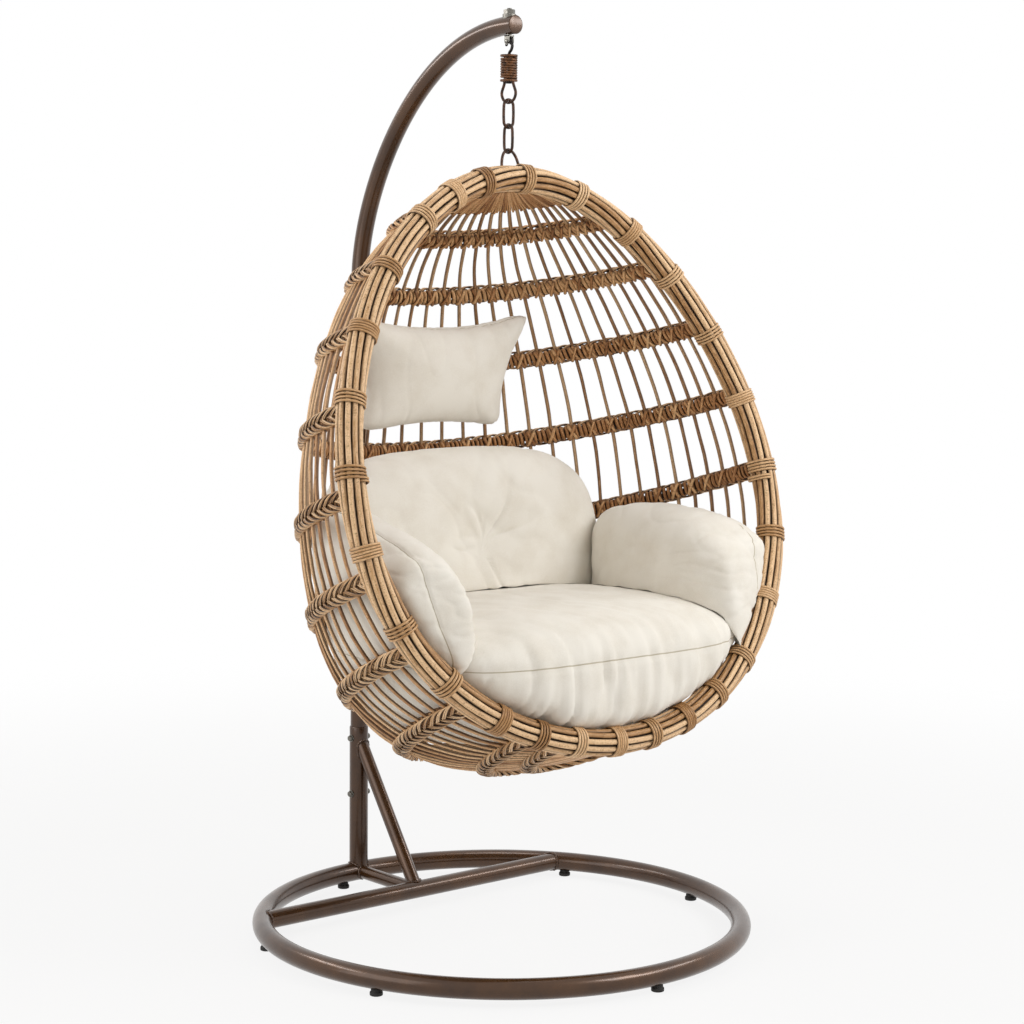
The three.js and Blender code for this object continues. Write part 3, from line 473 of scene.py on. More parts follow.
@dataclass
class Shell:
    """The points and faces of one piece, gathered part by part in millimetres."""

    points: list[Vector] = field(default_factory=list)
    faces: list[tuple[int, ...]] = field(default_factory=list)

    def rings(self, rings: Sequence[Sequence[Vector]], closed: bool = False) -> Shell:
        """Add a skin through rings of points that all have the same count.

        Args:
            rings: The rings in order.
            closed: Whether the last ring joins the first; an open skin gets two end faces.

        Returns:
            The shell itself.
        """
        base, sides = len(self.points), len(rings[0])
        self.points += [point for ring in rings for point in ring]
        for i in range(len(rings) if closed else len(rings) - 1):
            a, b = base + i * sides, base + (i + 1) % len(rings) * sides
            self.faces += [(a + j, a + (j + 1) % sides, b + (j + 1) % sides, b + j) for j in range(sides)]
        if not closed:
            self.faces.append(tuple(range(base, base + sides)))
            self.faces.append(tuple(range(base + (len(rings) - 1) * sides, base + len(rings) * sides)))
        return self

    def rod(
        self,
        path: Sequence[Vector],
        radius: float | Callable[[float], float],
        sides: int = 24,
        closed: bool = False,
        up: Vector = X,
    ) -> Shell:
        """Add a round rod along a path.

        Args:
            path: The centreline.
            radius: The radius, or a function of the share of the way along.
            sides: How many sides it has.
            closed: Whether the path is a loop.
            up: A direction that is never along the path.

        Returns:
            The shell itself.
        """
        rings, count = [], len(path)
        for i, centre in enumerate(path):
            before = path[i - 1] if closed or i else path[0]
            after = path[(i + 1) % count] if closed or i < count - 1 else path[-1]
            along = (after - before).normalized()
            out = along.cross(up).normalized()
            size = radius(i / max(count - 1, 1)) if callable(radius) else radius
            rings.append(circle(centre, out, out.cross(along), size, sides))
        return self.rings(rings, closed)

    def turned(self, profile: Profile, at: Vector, axis: Vector, sides: int = 32) -> Shell:
        """Add a revolved profile.

        Args:
            profile: Pairs of radius and height.
            at: Where height zero is.
            axis: The direction of height.
            sides: How many sides it has.

        Returns:
            The shell itself.
        """
        turn = axis.to_track_quat("Z", "Y")
        out, rise = turn @ X, turn @ Y
        return self.rings([circle(at + axis * h, out, rise, max(r, 0.02), sides) for r, h in profile])

    def hexagon(self, at: Vector, axis: Vector, across: float, thick: float) -> Shell:
        """Add a hexagonal nut or head with chamfered corners.

        Args:
            at: The middle of its seat.
            axis: The direction of its height.
            across: Its width over the corners.
            thick: Its height.

        Returns:
            The shell itself.
        """
        turn = axis.to_track_quat("Z", "Y")
        radius, sides, sixth = across / 2, 36, math.pi / 3
        chamfer = ((0, 0.95), (0.35, 1), (thick - 0.9, 1), (thick - 0.2, 0.9), (thick, 0.8))
        rings = []
        for height, cap in chamfer:
            ring = []
            for angle in (TAU * j / sides for j in range(sides)):
                flat = math.cos(sixth / 2) / math.cos((angle + sixth / 2) % sixth - sixth / 2)
                size = radius * min(flat, cap)
                ring.append(at + turn @ Vector((size * math.cos(angle), size * math.sin(angle), height)))
            rings.append(ring)
        return self.rings(rings)

    def build(self, name: str, material: bpy.types.Material, crease: float = 38.0) -> bpy.types.Object:
        """Make the object, in metres, with its faces out and its hard edges kept sharp.

        Args:
            name: The object's name.
            material: Its material.
            crease: The angle in degrees past which an edge is sharp.

        Returns:
            The object.
        """
        mesh = bpy.data.meshes.new(name)
        mesh.from_pydata([point * MM for point in self.points], [], self.faces)
        work = bmesh.new()
        work.from_mesh(mesh)
        bmesh.ops.recalc_face_normals(work, faces=work.faces)
        work.to_mesh(mesh)
        work.free()
        mesh.shade_smooth()
        mesh.set_sharp_from_angle(angle=math.radians(crease))
        return link_object(name, mesh, material)


class Workshop:
    """Builds each finish once and places each finished piece on its body."""

    def __init__(self) -> None:
        """Start with no material made."""
        self._made: dict[str, bpy.types.Material] = {}

    def material(self, finish: Finish) -> bpy.types.Material:
        """Return the finish's material, made at its first use."""
        if finish.name not in self._made:
            self._made[finish.name] = finish.build()
        return self._made[finish.name]

    def place(self, piece: bpy.types.Object, body: Body, finish: Finish, *nodes: str) -> None:
        """Put a piece on its body in place of the solids it stands for, and report it.

        Args:
            piece: The finished object.
            body: The body that carries it.
            finish: Its finish; not used.
            *nodes: The solids that it stands for.
        """
        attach(piece, body.value)
        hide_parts(*nodes)
        log.info("%s: %d faces on %s", piece.name, len(piece.data.polygons), body.value)

    def put(
        self, shell: Shell, name: str, node: str, body: Body, finish: Finish, crease: float = 38.0
    ) -> None:
        """Make the object of a shell and place it for one solid.

        Args:
            shell: The shell.
            name: The piece's name.
            node: The solid that it stands for.
            body: The body that carries it.
            finish: Its finish.
            crease: The angle in degrees past which an edge is sharp.
        """
        self.place(shell.build(name, self.material(finish), crease), body, finish, node)


# ------------------------------------------------------------------ wound strands


@dataclass
class Guides:
    """Guide lines for wound strands: each point has its directions, a running turn and a swell."""

    frames: list[Frame] = field(default_factory=list)
    edges: list[tuple[int, int]] = field(default_factory=list)
    turn: list[float] = field(default_factory=list)
    swell: list[float] = field(default_factory=list)

    def line(
        self,
        frames: Sequence[Frame],
        turn: Sequence[float] | None = None,
        swell: Sequence[float] | None = None,
        closed: bool = False,
    ) -> None:
        """Add one guide line.

        Args:
            frames: Its points, each with the directions out of the surface and across the line.
            turn: How many turns the strands have made at each point, or none.
            swell: How far the strands stand off at each point, as a share, or fully.
            closed: Whether the line is a loop.
        """
        base, count = len(self.frames), len(frames)
        self.frames += frames
        self.turn += turn or [0.0] * count
        self.swell += swell or [1.0] * count
        self.edges += [(base + i, base + (i + 1) % count) for i in range(count if closed else count - 1)]

    def build(self, name: str) -> bpy.types.Object:
        """Make the guide lines as a mesh of edges, with their values as attributes.

        Args:
            name: The object's name.

        Returns:
            The object.
        """
        mesh = bpy.data.meshes.new(name)
        mesh.from_pydata([frame[0] * MM for frame in self.frames], self.edges, [])
        for k, key in ((1, "out"), (2, "across")):
            made = mesh.attributes.new(key, "FLOAT_VECTOR", "POINT")
            made.data.foreach_set("vector", [part for frame in self.frames for part in frame[k]])
        for key, numbers in (("turn", self.turn), ("swell", self.swell)):
            mesh.attributes.new(key, "FLOAT", "POINT").data.foreach_set("value", numbers)
        return link_object(name, mesh, None)


@dataclass(frozen=True)
class Strands:
    """How strands wind round their guide, with lengths in millimetres."""

    count: int = 1
    radius: float = 4.0
    reach_out: float = 0.0
    reach_across: float = 0.0
    shift_out: float = 0.0
    shift_across: float = 0.0
    hand: float = 1.0
    wander: float = 0.0
    uneven: float = 0.1
    sides: int = 7
    seed: int = 1
    ply: int = 1
    ply_turn: float = 0.0
    # How much a strand's inner face counts as facing out, which spares it the painted shade.
    inner_face: float = 0.0


class Winder:
    """Geometry nodes that wind round strands about guide lines and turn them into one mesh."""

    LENGTHS = ("radius", "reach_out", "reach_across", "shift_out", "shift_across", "wander")
    PASSING = ("out", "across", "turn", "swell", "away")

    def __init__(self, shop: Workshop) -> None:
        """Build the tree, with an input for each value of the strands.

        Args:
            shop: The workshop that makes the materials.
        """
        self.shop = shop
        self.tree = bpy.data.node_groups.new("Wound strands", "GeometryNodeTree")
        given = asdict(Strands()).items()
        kinds = {key: "Int" if isinstance(value, int) else "Float" for key, value in given}
        make = self.tree.interface.new_socket
        self.sockets = {
            key: make(key, in_out="INPUT", socket_type=f"NodeSocket{kind}").identifier
            for key, kind in {"guides": "Geometry", **kinds, "finish": "Material"}.items()
        }
        make("mesh", in_out="OUTPUT", socket_type="NodeSocketGeometry")
        self._fill(Nodes(self.tree))

    def _fill(self, nodes: Nodes) -> None:
        """Copy each guide, move it on its helix, and sweep a round profile along it.

        Args:
            nodes: The tree's nodes.
        """
        given = nodes.add("NodeGroupInput").outputs
        lines = nodes.add("GeometryNodeMeshToCurve", {"Mesh": given["guides"]}).outputs["Curve"]
        copying = {"Geometry": lines, "Amount": given["count"]}
        copies = nodes.add("GeometryNodeDuplicateElements", copying, domain="SPLINE").outputs
        which = copies["Duplicate Index"]
        moved = self._helix(nodes, given, which)
        place = nodes.add("GeometryNodeInputPosition").outputs[0]
        seeded = nodes.math("MULTIPLY_ADD", which, 7.31, given["seed"])
        pattern = {"Vector": place, "W": seeded, "Scale": 9.0, "Detail": 1.0}
        drift = nodes.add("ShaderNodeTexNoise", pattern, noise_dimensions="4D").outputs
        strayed = nodes.scale(nodes.vector("SUBTRACT", drift["Color"], (0.5, 0.5, 0.5)), given["wander"])
        curve = nodes.store(copies["Geometry"], "away", self._away(nodes, moved), "FLOAT_VECTOR")
        shifting = {"Geometry": curve, "Offset": nodes.vector("ADD", moved, strayed)}
        curve = nodes.add("GeometryNodeSetPosition", shifting).outputs["Geometry"]
        drawing = {"ID": nodes.add("GeometryNodeInputIndex").outputs[0], "Seed": given["seed"]}
        tone = nodes.add("FunctionNodeRandomValue", drawing, data_type="FLOAT").outputs[1]
        curve = nodes.store(curve, "strand_tone", tone, domain="CURVE")
        run = nodes.add("GeometryNodeSplineParameter").outputs
        curve = nodes.store(curve, "grain_run", run["Length"])
        rounding = {"Resolution": given["sides"], "Radius": 1.0}
        profile = nodes.add("GeometryNodeCurvePrimitiveCircle", rounding).outputs["Curve"]
        profile = nodes.store(profile, "grain_round", run["Factor"])
        bulge = nodes.math("MULTIPLY_ADD", nodes.math("SUBTRACT", drift["Fac"], 0.5), given["uneven"], 1.0)
        size = nodes.math("MULTIPLY", bulge, given["radius"])
        sweeping = {"Curve": curve, "Profile Curve": profile, "Scale": size, "Fill Caps": True}
        mesh = nodes.add("GeometryNodeCurveToMesh", sweeping).outputs["Mesh"]
        # Painted shade: how much the skin faces out, which the cane's material reads to darken skin that faces
        # in.
        mesh = nodes.store(mesh, "shade_facing", self._facing(nodes, given["inner_face"]))
        mesh = nodes.add("GeometryNodeSetShadeSmooth", {"Geometry": mesh}).outputs[0]
        mesh = nodes.add("GeometryNodeRealizeInstances", {"Geometry": mesh}).outputs[0]
        painting = {"Geometry": mesh, "Material": given["finish"]}
        mesh = nodes.add("GeometryNodeSetMaterial", painting).outputs[0]
        nodes.add("NodeGroupOutput", {"mesh": mesh})

    @staticmethod
    def _helix(nodes: Nodes, given: bpy.types.NodeOutputs, which: Socket) -> Socket:
        """How far a copy's points move from their guide.

        Args:
            nodes: The tree's nodes.
            given: The strands' values.
            which: The copy's number.

        Returns:
            The way to move.
        """
        ply = nodes.math("FLOOR", nodes.math("ADD", nodes.math("DIVIDE", which, given["ply"]), 0.001))
        first = nodes.math("MULTIPLY", ply, given["ply"])
        member = nodes.math("SUBTRACT", which, first)
        share = nodes.math("DIVIDE", first, given["count"])
        share = nodes.math("MULTIPLY_ADD", member, given["ply_turn"], share)
        turns = nodes.math("MULTIPLY_ADD", nodes.named("turn"), given["hand"], share)
        angle = nodes.math("MULTIPLY", turns, TAU)
        ways = []
        for wave, key in (("COSINE", "out"), ("SINE", "across")):
            reach, shift = given[f"reach_{key}"], given[f"shift_{key}"]
            off = nodes.math("MULTIPLY_ADD", nodes.math(wave, angle), reach, shift)
            off = nodes.math("MULTIPLY", off, nodes.named("swell"))
            ways.append(nodes.scale(nodes.named(key, "FLOAT_VECTOR"), off))
        return nodes.vector("ADD", *ways)

    @staticmethod
    def _away(nodes: Nodes, moved: Socket) -> Socket:
        """The direction away from the guide, or out of the surface where a strand lies on its guide."""
        inputs = {0: nodes.measure("LENGTH", moved), 1: 1e-4}
        kinds = {"data_type": "FLOAT", "operation": "GREATER_THAN"}
        wound = nodes.add("FunctionNodeCompare", inputs, **kinds).outputs[0]
        inputs = {"Switch": wound, "False": nodes.named("out", "FLOAT_VECTOR"), "True": moved}
        return nodes.add("GeometryNodeSwitch", inputs, input_type="VECTOR").outputs[0]

    @staticmethod
    def _facing(nodes: Nodes, inner_face: Socket) -> Socket:
        """How much the skin faces away from the guide, or towards it where the inner face is seen too; the
        cane's painted shade darkens skin where this is low.
        """
        level = nodes.vector("NORMALIZE", nodes.named("away", "FLOAT_VECTOR"))
        facing = nodes.measure("DOT_PRODUCT", nodes.add("GeometryNodeInputNormal").outputs[0], level)
        inner = nodes.math("MULTIPLY", nodes.math("MULTIPLY", facing, inner_face), -1.0)
        return nodes.math("MAXIMUM", facing, inner)

    def wind(self, name: str, guides: Guides, strands: Strands, finish: Finish) -> bpy.types.Object:
        """Wind strands about the guides and return them as one plain mesh.

        Args:
            name: The piece's name.
            guides: The guide lines.
            strands: How the strands wind; they stray and swell by their own figures to either side.
            finish: Their finish.

        Returns:
            The object.
        """
        base = guides.build(f"{name}_guides")
        modifier = base.modifiers.new("winding", "NODES")
        modifier.node_group = self.tree
        material = self.shop.material(finish)
        values = asdict(strands)
        values |= {"wander": strands.wander * 2, "uneven": strands.uneven * 2, "finish": material}
        for key, value in values.items():
            modifier[self.sockets[key]] = value * MM if key in self.LENGTHS else value
        seen = base.evaluated_get(bpy.context.evaluated_depsgraph_get())
        mesh = bpy.data.meshes.new_from_object(seen)
        mesh.name = name
        for key in self.PASSING:
            if key in mesh.attributes:
                mesh.attributes.remove(mesh.attributes[key])
        bpy.data.objects.remove(base)
        return link_object(name, mesh, material)


def join(name: str, parts: Sequence[bpy.types.Object]) -> bpy.types.Object:
    """Join objects of one material into the first, under a new name.

    Args:
        name: The joined object's name.
        parts: The objects.

    Returns:
        The joined object.
    """
    if len(parts) > 1:
        bpy.ops.object.select_all(action="DESELECT")
        for part in parts:
            part.select_set(True)
        bpy.context.view_layer.objects.active = parts[0]
        bpy.ops.object.join()
    parts[0].name = parts[0].data.name = name
    return parts[0]


# ------------------------------------------------------------------ stand


@dataclass
class Stand:
    """The floor ring, its bars, the post and the curved arm."""

    shop: Workshop
    ring_radius: float = 506.0
    ring_tube: float = 42.0
    arm_tube: float = 38.0
    cross_tube: float = 38.0
    brace_tube: float = 30.0
    cross_y: float = 293.0
    post_top: float = 368.0
    plug_depth: float = 190.0
    brace_top: float = 312.0
    bend_start: float = 1369.0
    bend_low: float = 207.0
    bend_high: float = 312.0
    tip_y: float = -17.0
    tip_z: float = 1900.0
    foot_height: float = 12.0
    foot_angles: Angles = (33, 95, 156, 201, 267, 353)
    bolt_heights: tuple[tuple[str, float], ...] = (("upper", 342.0), ("lower", 214.0))
    weld_spokes: int = 72
    weld_size: float = 2.6
    weld_halvings: int = 26
    arm_spans: int = 96

    @property
    def ring_z(self) -> float:
        """Height of the ring's centreline."""
        return self.foot_height + self.ring_tube / 2

    @property
    def post(self) -> Vector:
        """Where the post's axis meets the floor."""
        return Y * self.ring_radius

    @property
    def joint(self) -> Vector:
        """Where the cross bar, the short bar and the brace meet."""
        return Vector((0, self.cross_y, self.ring_z))

    def to_ring(self, point: Vector) -> float:
        """Distance from a point to the skin of the floor ring."""
        flat = math.hypot(point.x, point.y) - self.ring_radius
        return math.hypot(flat, point.z - self.ring_z) - self.ring_tube / 2

    def to_post(self, point: Vector) -> float:
        """Distance from a point to the skin of the post."""
        return math.hypot(point.x, point.y - self.ring_radius) - self.ring_tube / 2

    def to_cross(self, point: Vector) -> float:
        """Distance from a point to the skin of the cross bar."""
        return math.hypot(point.y - self.cross_y, point.z - self.ring_z) - self.cross_tube / 2

    def weld(self, shell: Shell, start: Vector, end: Vector, radius: float, skin: Skin) -> None:
        """Add the weld bead where a bar's skin meets another tube's skin.

        Args:
            shell: The shell that gets the bead.
            start: A point on the bar's axis, outside the other tube.
            end: A point on the bar's axis, inside it.
            radius: The bar's radius.
            skin: The distance to the other tube's skin.
        """
        along = (end - start).normalized()
        side = along.orthogonal().normalized()
        path, reach = [], (end - start).length
        for spoke in circle(Vector(), side, along.cross(side), 1.0, self.weld_spokes):
            low, high = 0.0, reach
            for _ in range(self.weld_halvings):
                middle = (low + high) / 2
                if skin(start + along * middle + spoke * radius) > 0:
                    low = middle
                else:
                    high = middle
            path.append(start + along * (low - 1.0) + spoke * (radius + 0.6))
        ripples = (self.weld_spokes - 1) / 4.5
        shell.rod(path, lambda share: self.weld_size + 0.5 * math.sin(share * ripples * TAU), 8, True, along)

    def arm_path(self) -> list[Vector]:
        """The arm's centreline, from its plug in the post to its tip.

        Returns:
            Points along it.
        """
        start = self.post + Z * self.bend_start
        rise = start + Z * self.bend_low
        tip = Vector((0, self.tip_y, self.tip_z))
        reach = tip + Y * self.bend_high
        low = self.post_top - self.plug_depth
        points = [self.post + Z * z for z in np.linspace(low, self.bend_start, 40)]
        for i in range(1, self.arm_spans + 1):
            t = i / self.arm_spans
            s = 1 - t
            points.append(start * s**3 + rise * (3 * s * s * t) + reach * (3 * s * t * t) + tip * t**3)
        return points

    @staticmethod
    def _bar(start: Vector, end: Vector, spans: int, tube: float, up: Vector = Z) -> Shell:
        """A straight tube with a few spans along it."""
        return Shell().rod([start.lerp(end, i / spans) for i in range(spans + 1)], tube / 2, 32, up=up)

    def _coat(self, shell: Shell, name: str, node: str) -> None:
        """Coat a piece of the stand and place it."""
        self.shop.put(shell, name, node, Body.STAND, POWDER_COAT)

    def build(self) -> None:
        """Build and place every piece of the stand."""
        self._ring_and_bars()
        self._post_and_brace()
        self._arm()
        self._feet()
        self._bolts()

    def _ring_and_bars(self) -> None:
        """Build the floor ring, the cross bar and the short bar behind it."""
        path = circle(Z * self.ring_z, X, Y, self.ring_radius, 256)
        self._coat(Shell().rod(path, self.ring_tube / 2, 32, True, Z), "floor_ring", "base_ring")

        half = math.sqrt(self.ring_radius**2 - self.cross_y**2) - 4
        ends = [self.joint + X * (s * half) for s in (-1, 1)]
        cross = self._bar(*ends, 20, self.cross_tube)
        for end in ends:
            self.weld(cross, self.joint, end, self.cross_tube / 2, self.to_ring)
        self._coat(cross, "cross_bar_tube", "cross_bar")

        inner = Vector((0, self.ring_radius - 8, self.ring_z))
        short = self._bar(self.joint, inner, 10, self.brace_tube)
        middle = self.joint.lerp(inner, 0.5)
        self.weld(short, middle, self.joint, self.brace_tube / 2, self.to_cross)
        self.weld(short, middle, inner, self.brace_tube / 2, self.to_ring)
        self._coat(short, "short_bar_tube", "short_bar")

    def _post_and_brace(self) -> None:
        """Build the sleeve of the post and the brace that leans on it."""
        radius, bore = self.ring_tube / 2, self.arm_tube / 2 + 0.4
        mouth = [(radius - 0.5, self.post_top - 0.4), (radius - 1.2, self.post_top)]
        mouth += [(bore, self.post_top), (bore, self.post_top - 6)]
        wall = [(radius, z) for z in np.linspace(self.ring_z + 20, self.post_top - 1.6, 12)]
        sleeve = Shell().turned([(radius, self.ring_z), *wall, *mouth], self.post, Z, 48)
        self.weld(sleeve, self.post + Z * 120, self.post + Z * self.ring_z, radius, self.to_ring)
        self._coat(sleeve, "post_sleeve", "lower_post")

        slope = (self.brace_top - self.ring_z) / (self.ring_radius - radius - self.cross_y)
        top = self.post + Z * (self.brace_top + slope * radius)
        strut = self._bar(top.lerp(self.joint, 0.02), top.lerp(self.joint, 0.98), 20, self.brace_tube, X)
        middle = top.lerp(self.joint, 0.5)
        self.weld(strut, middle, top, self.brace_tube / 2, self.to_post)
        self.weld(strut, middle, self.joint, self.brace_tube / 2, self.to_cross)
        self._coat(strut, "brace_tube", "brace")

    def _arm(self) -> None:
        """Build the curved arm and the cap in its tip."""
        rim = self.arm_tube / 2
        self._coat(Shell().rod(self.arm_path(), rim, 40), "arm_tube", "curved_arm")
        cap = [(0, -1), (rim - 0.2, -1), (rim, 0.3), (rim + 0.15, 2.6)]
        cap += [(rim - 0.8, 3.7), (rim - 2.6, 4.2), (0, 4)]
        self._coat(Shell().turned(cap, Vector((0, self.tip_y, self.tip_z)), -Y, 40), "arm_cap", "arm_end_cap")

    def _feet(self) -> None:
        """Build the rubber feet that clip up against the ring."""
        profile = [(0, 0), (11.5, 0), (12.6, 0.6), (13, 1.8), (13, 6.6), (12.2, 7.6), (10.6, 9)]
        profile += [(10.3, 14), (10.3, 21), (0, 21)]
        for i, angle in enumerate(map(math.radians, self.foot_angles), 1):
            at = Vector((math.cos(angle), math.sin(angle), 0)) * self.ring_radius
            foot = Shell().turned(profile, at, Z, 28)
            for rib in (9.6, 11.6, 13.6):
                foot.turned([(10.4, rib), (10.9, rib + 0.5), (10.4, rib + 1.2)], at, Z, 28)
            self.shop.put(foot, f"ring_foot_{i}", f"foot_{i}", Body.STAND, RUBBER)

    def _bolts(self) -> None:
        """Build the through bolts with their washers and nuts."""
        washer = [(0, -3), (8, -3), (8.2, 0.2), (8.2, 1.1), (7.9, 1.4), (0, 1.4)]
        seat = self.ring_tube / 2 + 0.3
        for level, z in self.bolt_heights:
            axis = self.post + Z * z
            for kind, way in (("bolt", -X), ("nut", X)):
                part = Shell().turned(washer, axis + way * seat, way, 28)
                part.hexagon(axis + way * (seat + 1.4), way, 13, 5.2)
                if kind == "bolt":
                    shank = [(0, 0), (4, 0), (4, 50), (3.2, 51), (0, 51)]
                    part.turned(shank, axis + way * (seat + 1), -way, 20)
                name = f"post_{kind}_{level}"
                self.shop.put(part, f"{name}_hex", name, Body.STAND, ZINC_PLATE, 30)


# ------------------------------------------------------------------ swivel, spring and chain


@dataclass
class Hanger:
    """The swivel, the hook, the spring between its two plugs, the draw loop, two links and the bail."""

    shop: Workshop
    arm_top: float = 1919.0
    yoke_top: float = 1879.2
    yoke_drop: float = 18.5
    stud_top: float = 1934.0
    pin_z: float = 1867.2
    plug_top: float = 1840.2
    plug_flange: float = 4.3
    spring_top: float = 1835.9
    spring_bottom: float = 1790.5
    spring_radius: float = 15.2
    spring_wire: float = 4.6
    spring_turns: int = 8
    spring_steps: int = 36
    spring_lead: int = 8
    loop_z: float = 1743.2
    link_tops: tuple[float, float] = (1749.5, 1698.8)
    link_length: float = 57.0
    link_width: float = 23.0
    wire: float = 6.0
    bail_top: float = 1648.1
    bail_foot: float = 1591.5
    bail_lean: float = -11.25
    bail_width: float = 44.0

    def build(self) -> None:
        """Build and place every piece of the hanger."""
        self._swivel()
        self._hook_and_plugs()
        self._spring()
        self._loop()
        self._links()
        self._bail()

    def _swivel(self) -> None:
        """Build the saddle, the yoke with its stud, the nut and the pin."""
        profile = [(5.2, -9), (14, -9), (14, 2.6), (13.6, 3), (5.2, 3)]
        saddle = Shell().turned(profile, Z * self.arm_top, Z, 40)
        self.shop.put(saddle, "saddle", "saddle_washer", Body.STAND, ZINC_PLATE)

        yoke, high, half = Shell(), self.yoke_top, 6.5
        low = high - self.yoke_drop
        outline = [(-half, high), (half, high), (half, low + 6)]
        turns = np.linspace(0.1, math.pi - 0.1, 15)
        outline += [(half * math.cos(a), low + half - half * math.sin(a)) for a in turns]
        outline += [(-half, low + 6)]
        for s in (-1, 1):
            yoke.rings([[Vector((s * x, y, z)) for y, z in outline] for x in (4.5, 7.5)])
        corners = ((-7.5, -half), (7.5, -half), (7.5, half), (-7.5, half))
        yoke.rings([[Vector((x, y, z)) for x, y in corners] for z in (high - 2.2, high)])
        tall = self.stud_top - high
        thread = [(5 - 0.35 * (i % 2), tall - 10 + i) for i in range(1, 9)]
        yoke.turned([(5, -1.5), (5, tall - 10), *thread, (4.4, tall), (0, tall)], Z * high, Z, 24)
        self.shop.put(yoke, "swivel_yoke_forged", "swivel_yoke", Body.SWIVEL, ZINC_PLATE, 30)

        nut = Shell().hexagon(Z * (self.arm_top + 3.3), Z, 24, 9)
        self.shop.put(nut, "swivel_hex_nut", "swivel_nut", Body.SWIVEL, ZINC_PLATE, 30)
        head = [(0, 9.8), (3.6, 9.8), (4.5, 9.2), (4.5, 7.8), (3, 7.8)]
        pin = Shell().turned([*((r, -h) for r, h in head), *reversed(head)], Z * self.pin_z, X, 24)
        self.shop.put(pin, "yoke_rivet", "yoke_pin", Body.SWIVEL, ZINC_PLATE)

    def _hook_and_plugs(self) -> None:
        """Build the hook over the pin and the two plugs of the spring."""
        bend, pin = 6.5, self.pin_z
        turns = np.linspace(0, math.pi, 9)
        stops = [(bend + 2.6, pin - 9), (bend + 0.8, pin - 4)]
        stops += [(bend * math.cos(a), pin + bend * math.sin(a)) for a in turns]
        stops += [(-bend - 3.4, pin - 9), (-bend - 0.8, pin - 17), (-1.2, self.plug_top + 4)]
        stops += [(0, self.plug_top - 1), (0, self.plug_top - 11)]
        path = smooth_path([Vector((0, y, z)) for y, z in stops], 64)
        hook = Shell().rod(path, lambda s: 3.1 if s > 0.03 else 2.2, 20)
        self.shop.put(hook, "spring_hook_rod", "spring_hook", Body.HOOK, BLACK_OXIDE)

        plug = [(0, 0), (3.4, 0), (3.6, 0.5), (17.2, 0.2), (18, -0.8), (18, -3.2), (17.3, -4)]
        plug += [(11, -4), (11, -12.4), (10.4, -13), (0, -13)]
        upper = Shell().turned(plug, Z * self.plug_top, Z, 40)
        self.shop.put(upper, "spring_plug_upper", "upper_spring_plug", Body.HOOK, RUSTED_IRON)
        lower = Shell().turned([(r, -h) for r, h in plug], Z * (self.spring_bottom - self.plug_flange), Z, 40)
        self.shop.put(lower, "spring_plug_lower", "lower_spring_plug", Body.DRAW, RUSTED_IRON)

    def _spring(self) -> None:
        """Build the coil spring, which stretches between the hook and the draw loop's body."""
        pitch = (self.spring_top - self.spring_bottom - self.spring_wire) / self.spring_turns
        steps, lead = self.spring_steps, self.spring_lead
        count = self.spring_turns * steps
        coil = []
        for i in range(-lead, count + lead + 1):
            angle = TAU * i / steps
            height = self.spring_top - self.spring_wire / 2 - pitch * min(max(i, 0), count) / steps
            coil.append(Vector((math.cos(angle), math.sin(angle), 0)) * self.spring_radius + Z * height)
        shell = Shell().rod(coil, self.spring_wire / 2 + 0.22, 14, up=Z)
        spring = shell.build("coil_spring_wire", self.shop.material(RUSTED_IRON))
        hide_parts("coil_spring")
        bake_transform(spring)
        log.info("coil_spring_wire: %d faces between hook and draw", len(spring.data.polygons))

    def _arch(self, plane: Vector, side: Profile, top: float, count: int) -> list[Vector]:
        """A path up one side, over a top and down the other side.

        Args:
            plane: The direction of the first side.
            side: Pairs of distance from the axis and height, from its end to the top.
            top: The height of its middle.
            count: How many spans it has.

        Returns:
            The path.
        """
        one, other = ([plane * (s * r) + Z * z for r, z in side] for s in (1, -1))
        return smooth_path([*one, Z * top, *reversed(other)], count)

    def _loop(self) -> None:
        """Build the pear-shaped draw loop and the nut under its plug."""
        low = self.spring_bottom - self.plug_flange
        side = ((14, low + 2.5), (14, low - 4), (22, self.loop_z + 19), (15.84, self.loop_z + 6))
        loop = Shell().rod(self._arch(Y, side, self.loop_z, 80), self.wire / 2, 16)
        self.shop.put(loop, "draw_loop_rod", "draw_loop", Body.DRAW, WORN_IRON)
        nut = Shell().hexagon(Z * (low - 0.3), -Z, 14, 4)
        self.shop.put(nut, "plug_hex_nut", "plug_nut", Body.DRAW, BLACK_OXIDE, 30)

    def _links(self) -> None:
        """Build the two links, turned a quarter to each other, with sides that bow out a little."""
        half, long = self.link_width / 2, self.link_length
        bodies = (Body.UPPER_LINK, Body.LOWER_LINK)
        for top, flat, across, body in zip(self.link_tops, (Y, X), (X, Y), bodies):
            path = []
            for centre, start in ((top - half, 0.0), (top - long + half, math.pi)):
                turns = start + np.linspace(0, math.pi, 24)
                path += [across * (half * math.cos(a)) + Z * (centre + half * math.sin(a)) for a in turns]
            path = even_points([*path, path[0]], 64)[:-1]
            for point in path:
                bow = 1.6 * math.cos(math.pi * (point.z - top + long / 2) / long)
                point += across * math.copysign(bow, point.dot(across))
            link = Shell().rod(path, self.wire / 2, 16, True, flat)
            self.shop.put(link, f"{body.value}_rod", body.value, body, WORN_IRON)

    def _bail(self) -> None:
        """Build the bail, which leans with the basket's rim."""
        wide, foot, top = self.bail_width / 2, self.bail_foot, self.bail_top
        path = self._arch(-X, ((wide, foot), (wide, (foot + top) / 2), (wide * 0.62, top - 8)), top, 72)
        for point in path:
            point.y += self.bail_lean * (top - point.z) / (top - foot)
        self.shop.put(Shell().rod(path, self.wire / 2, 16, up=Y), "bail_rod", "bail", Body.BASKET, WORN_IRON)


# ------------------------------------------------------------------ basket


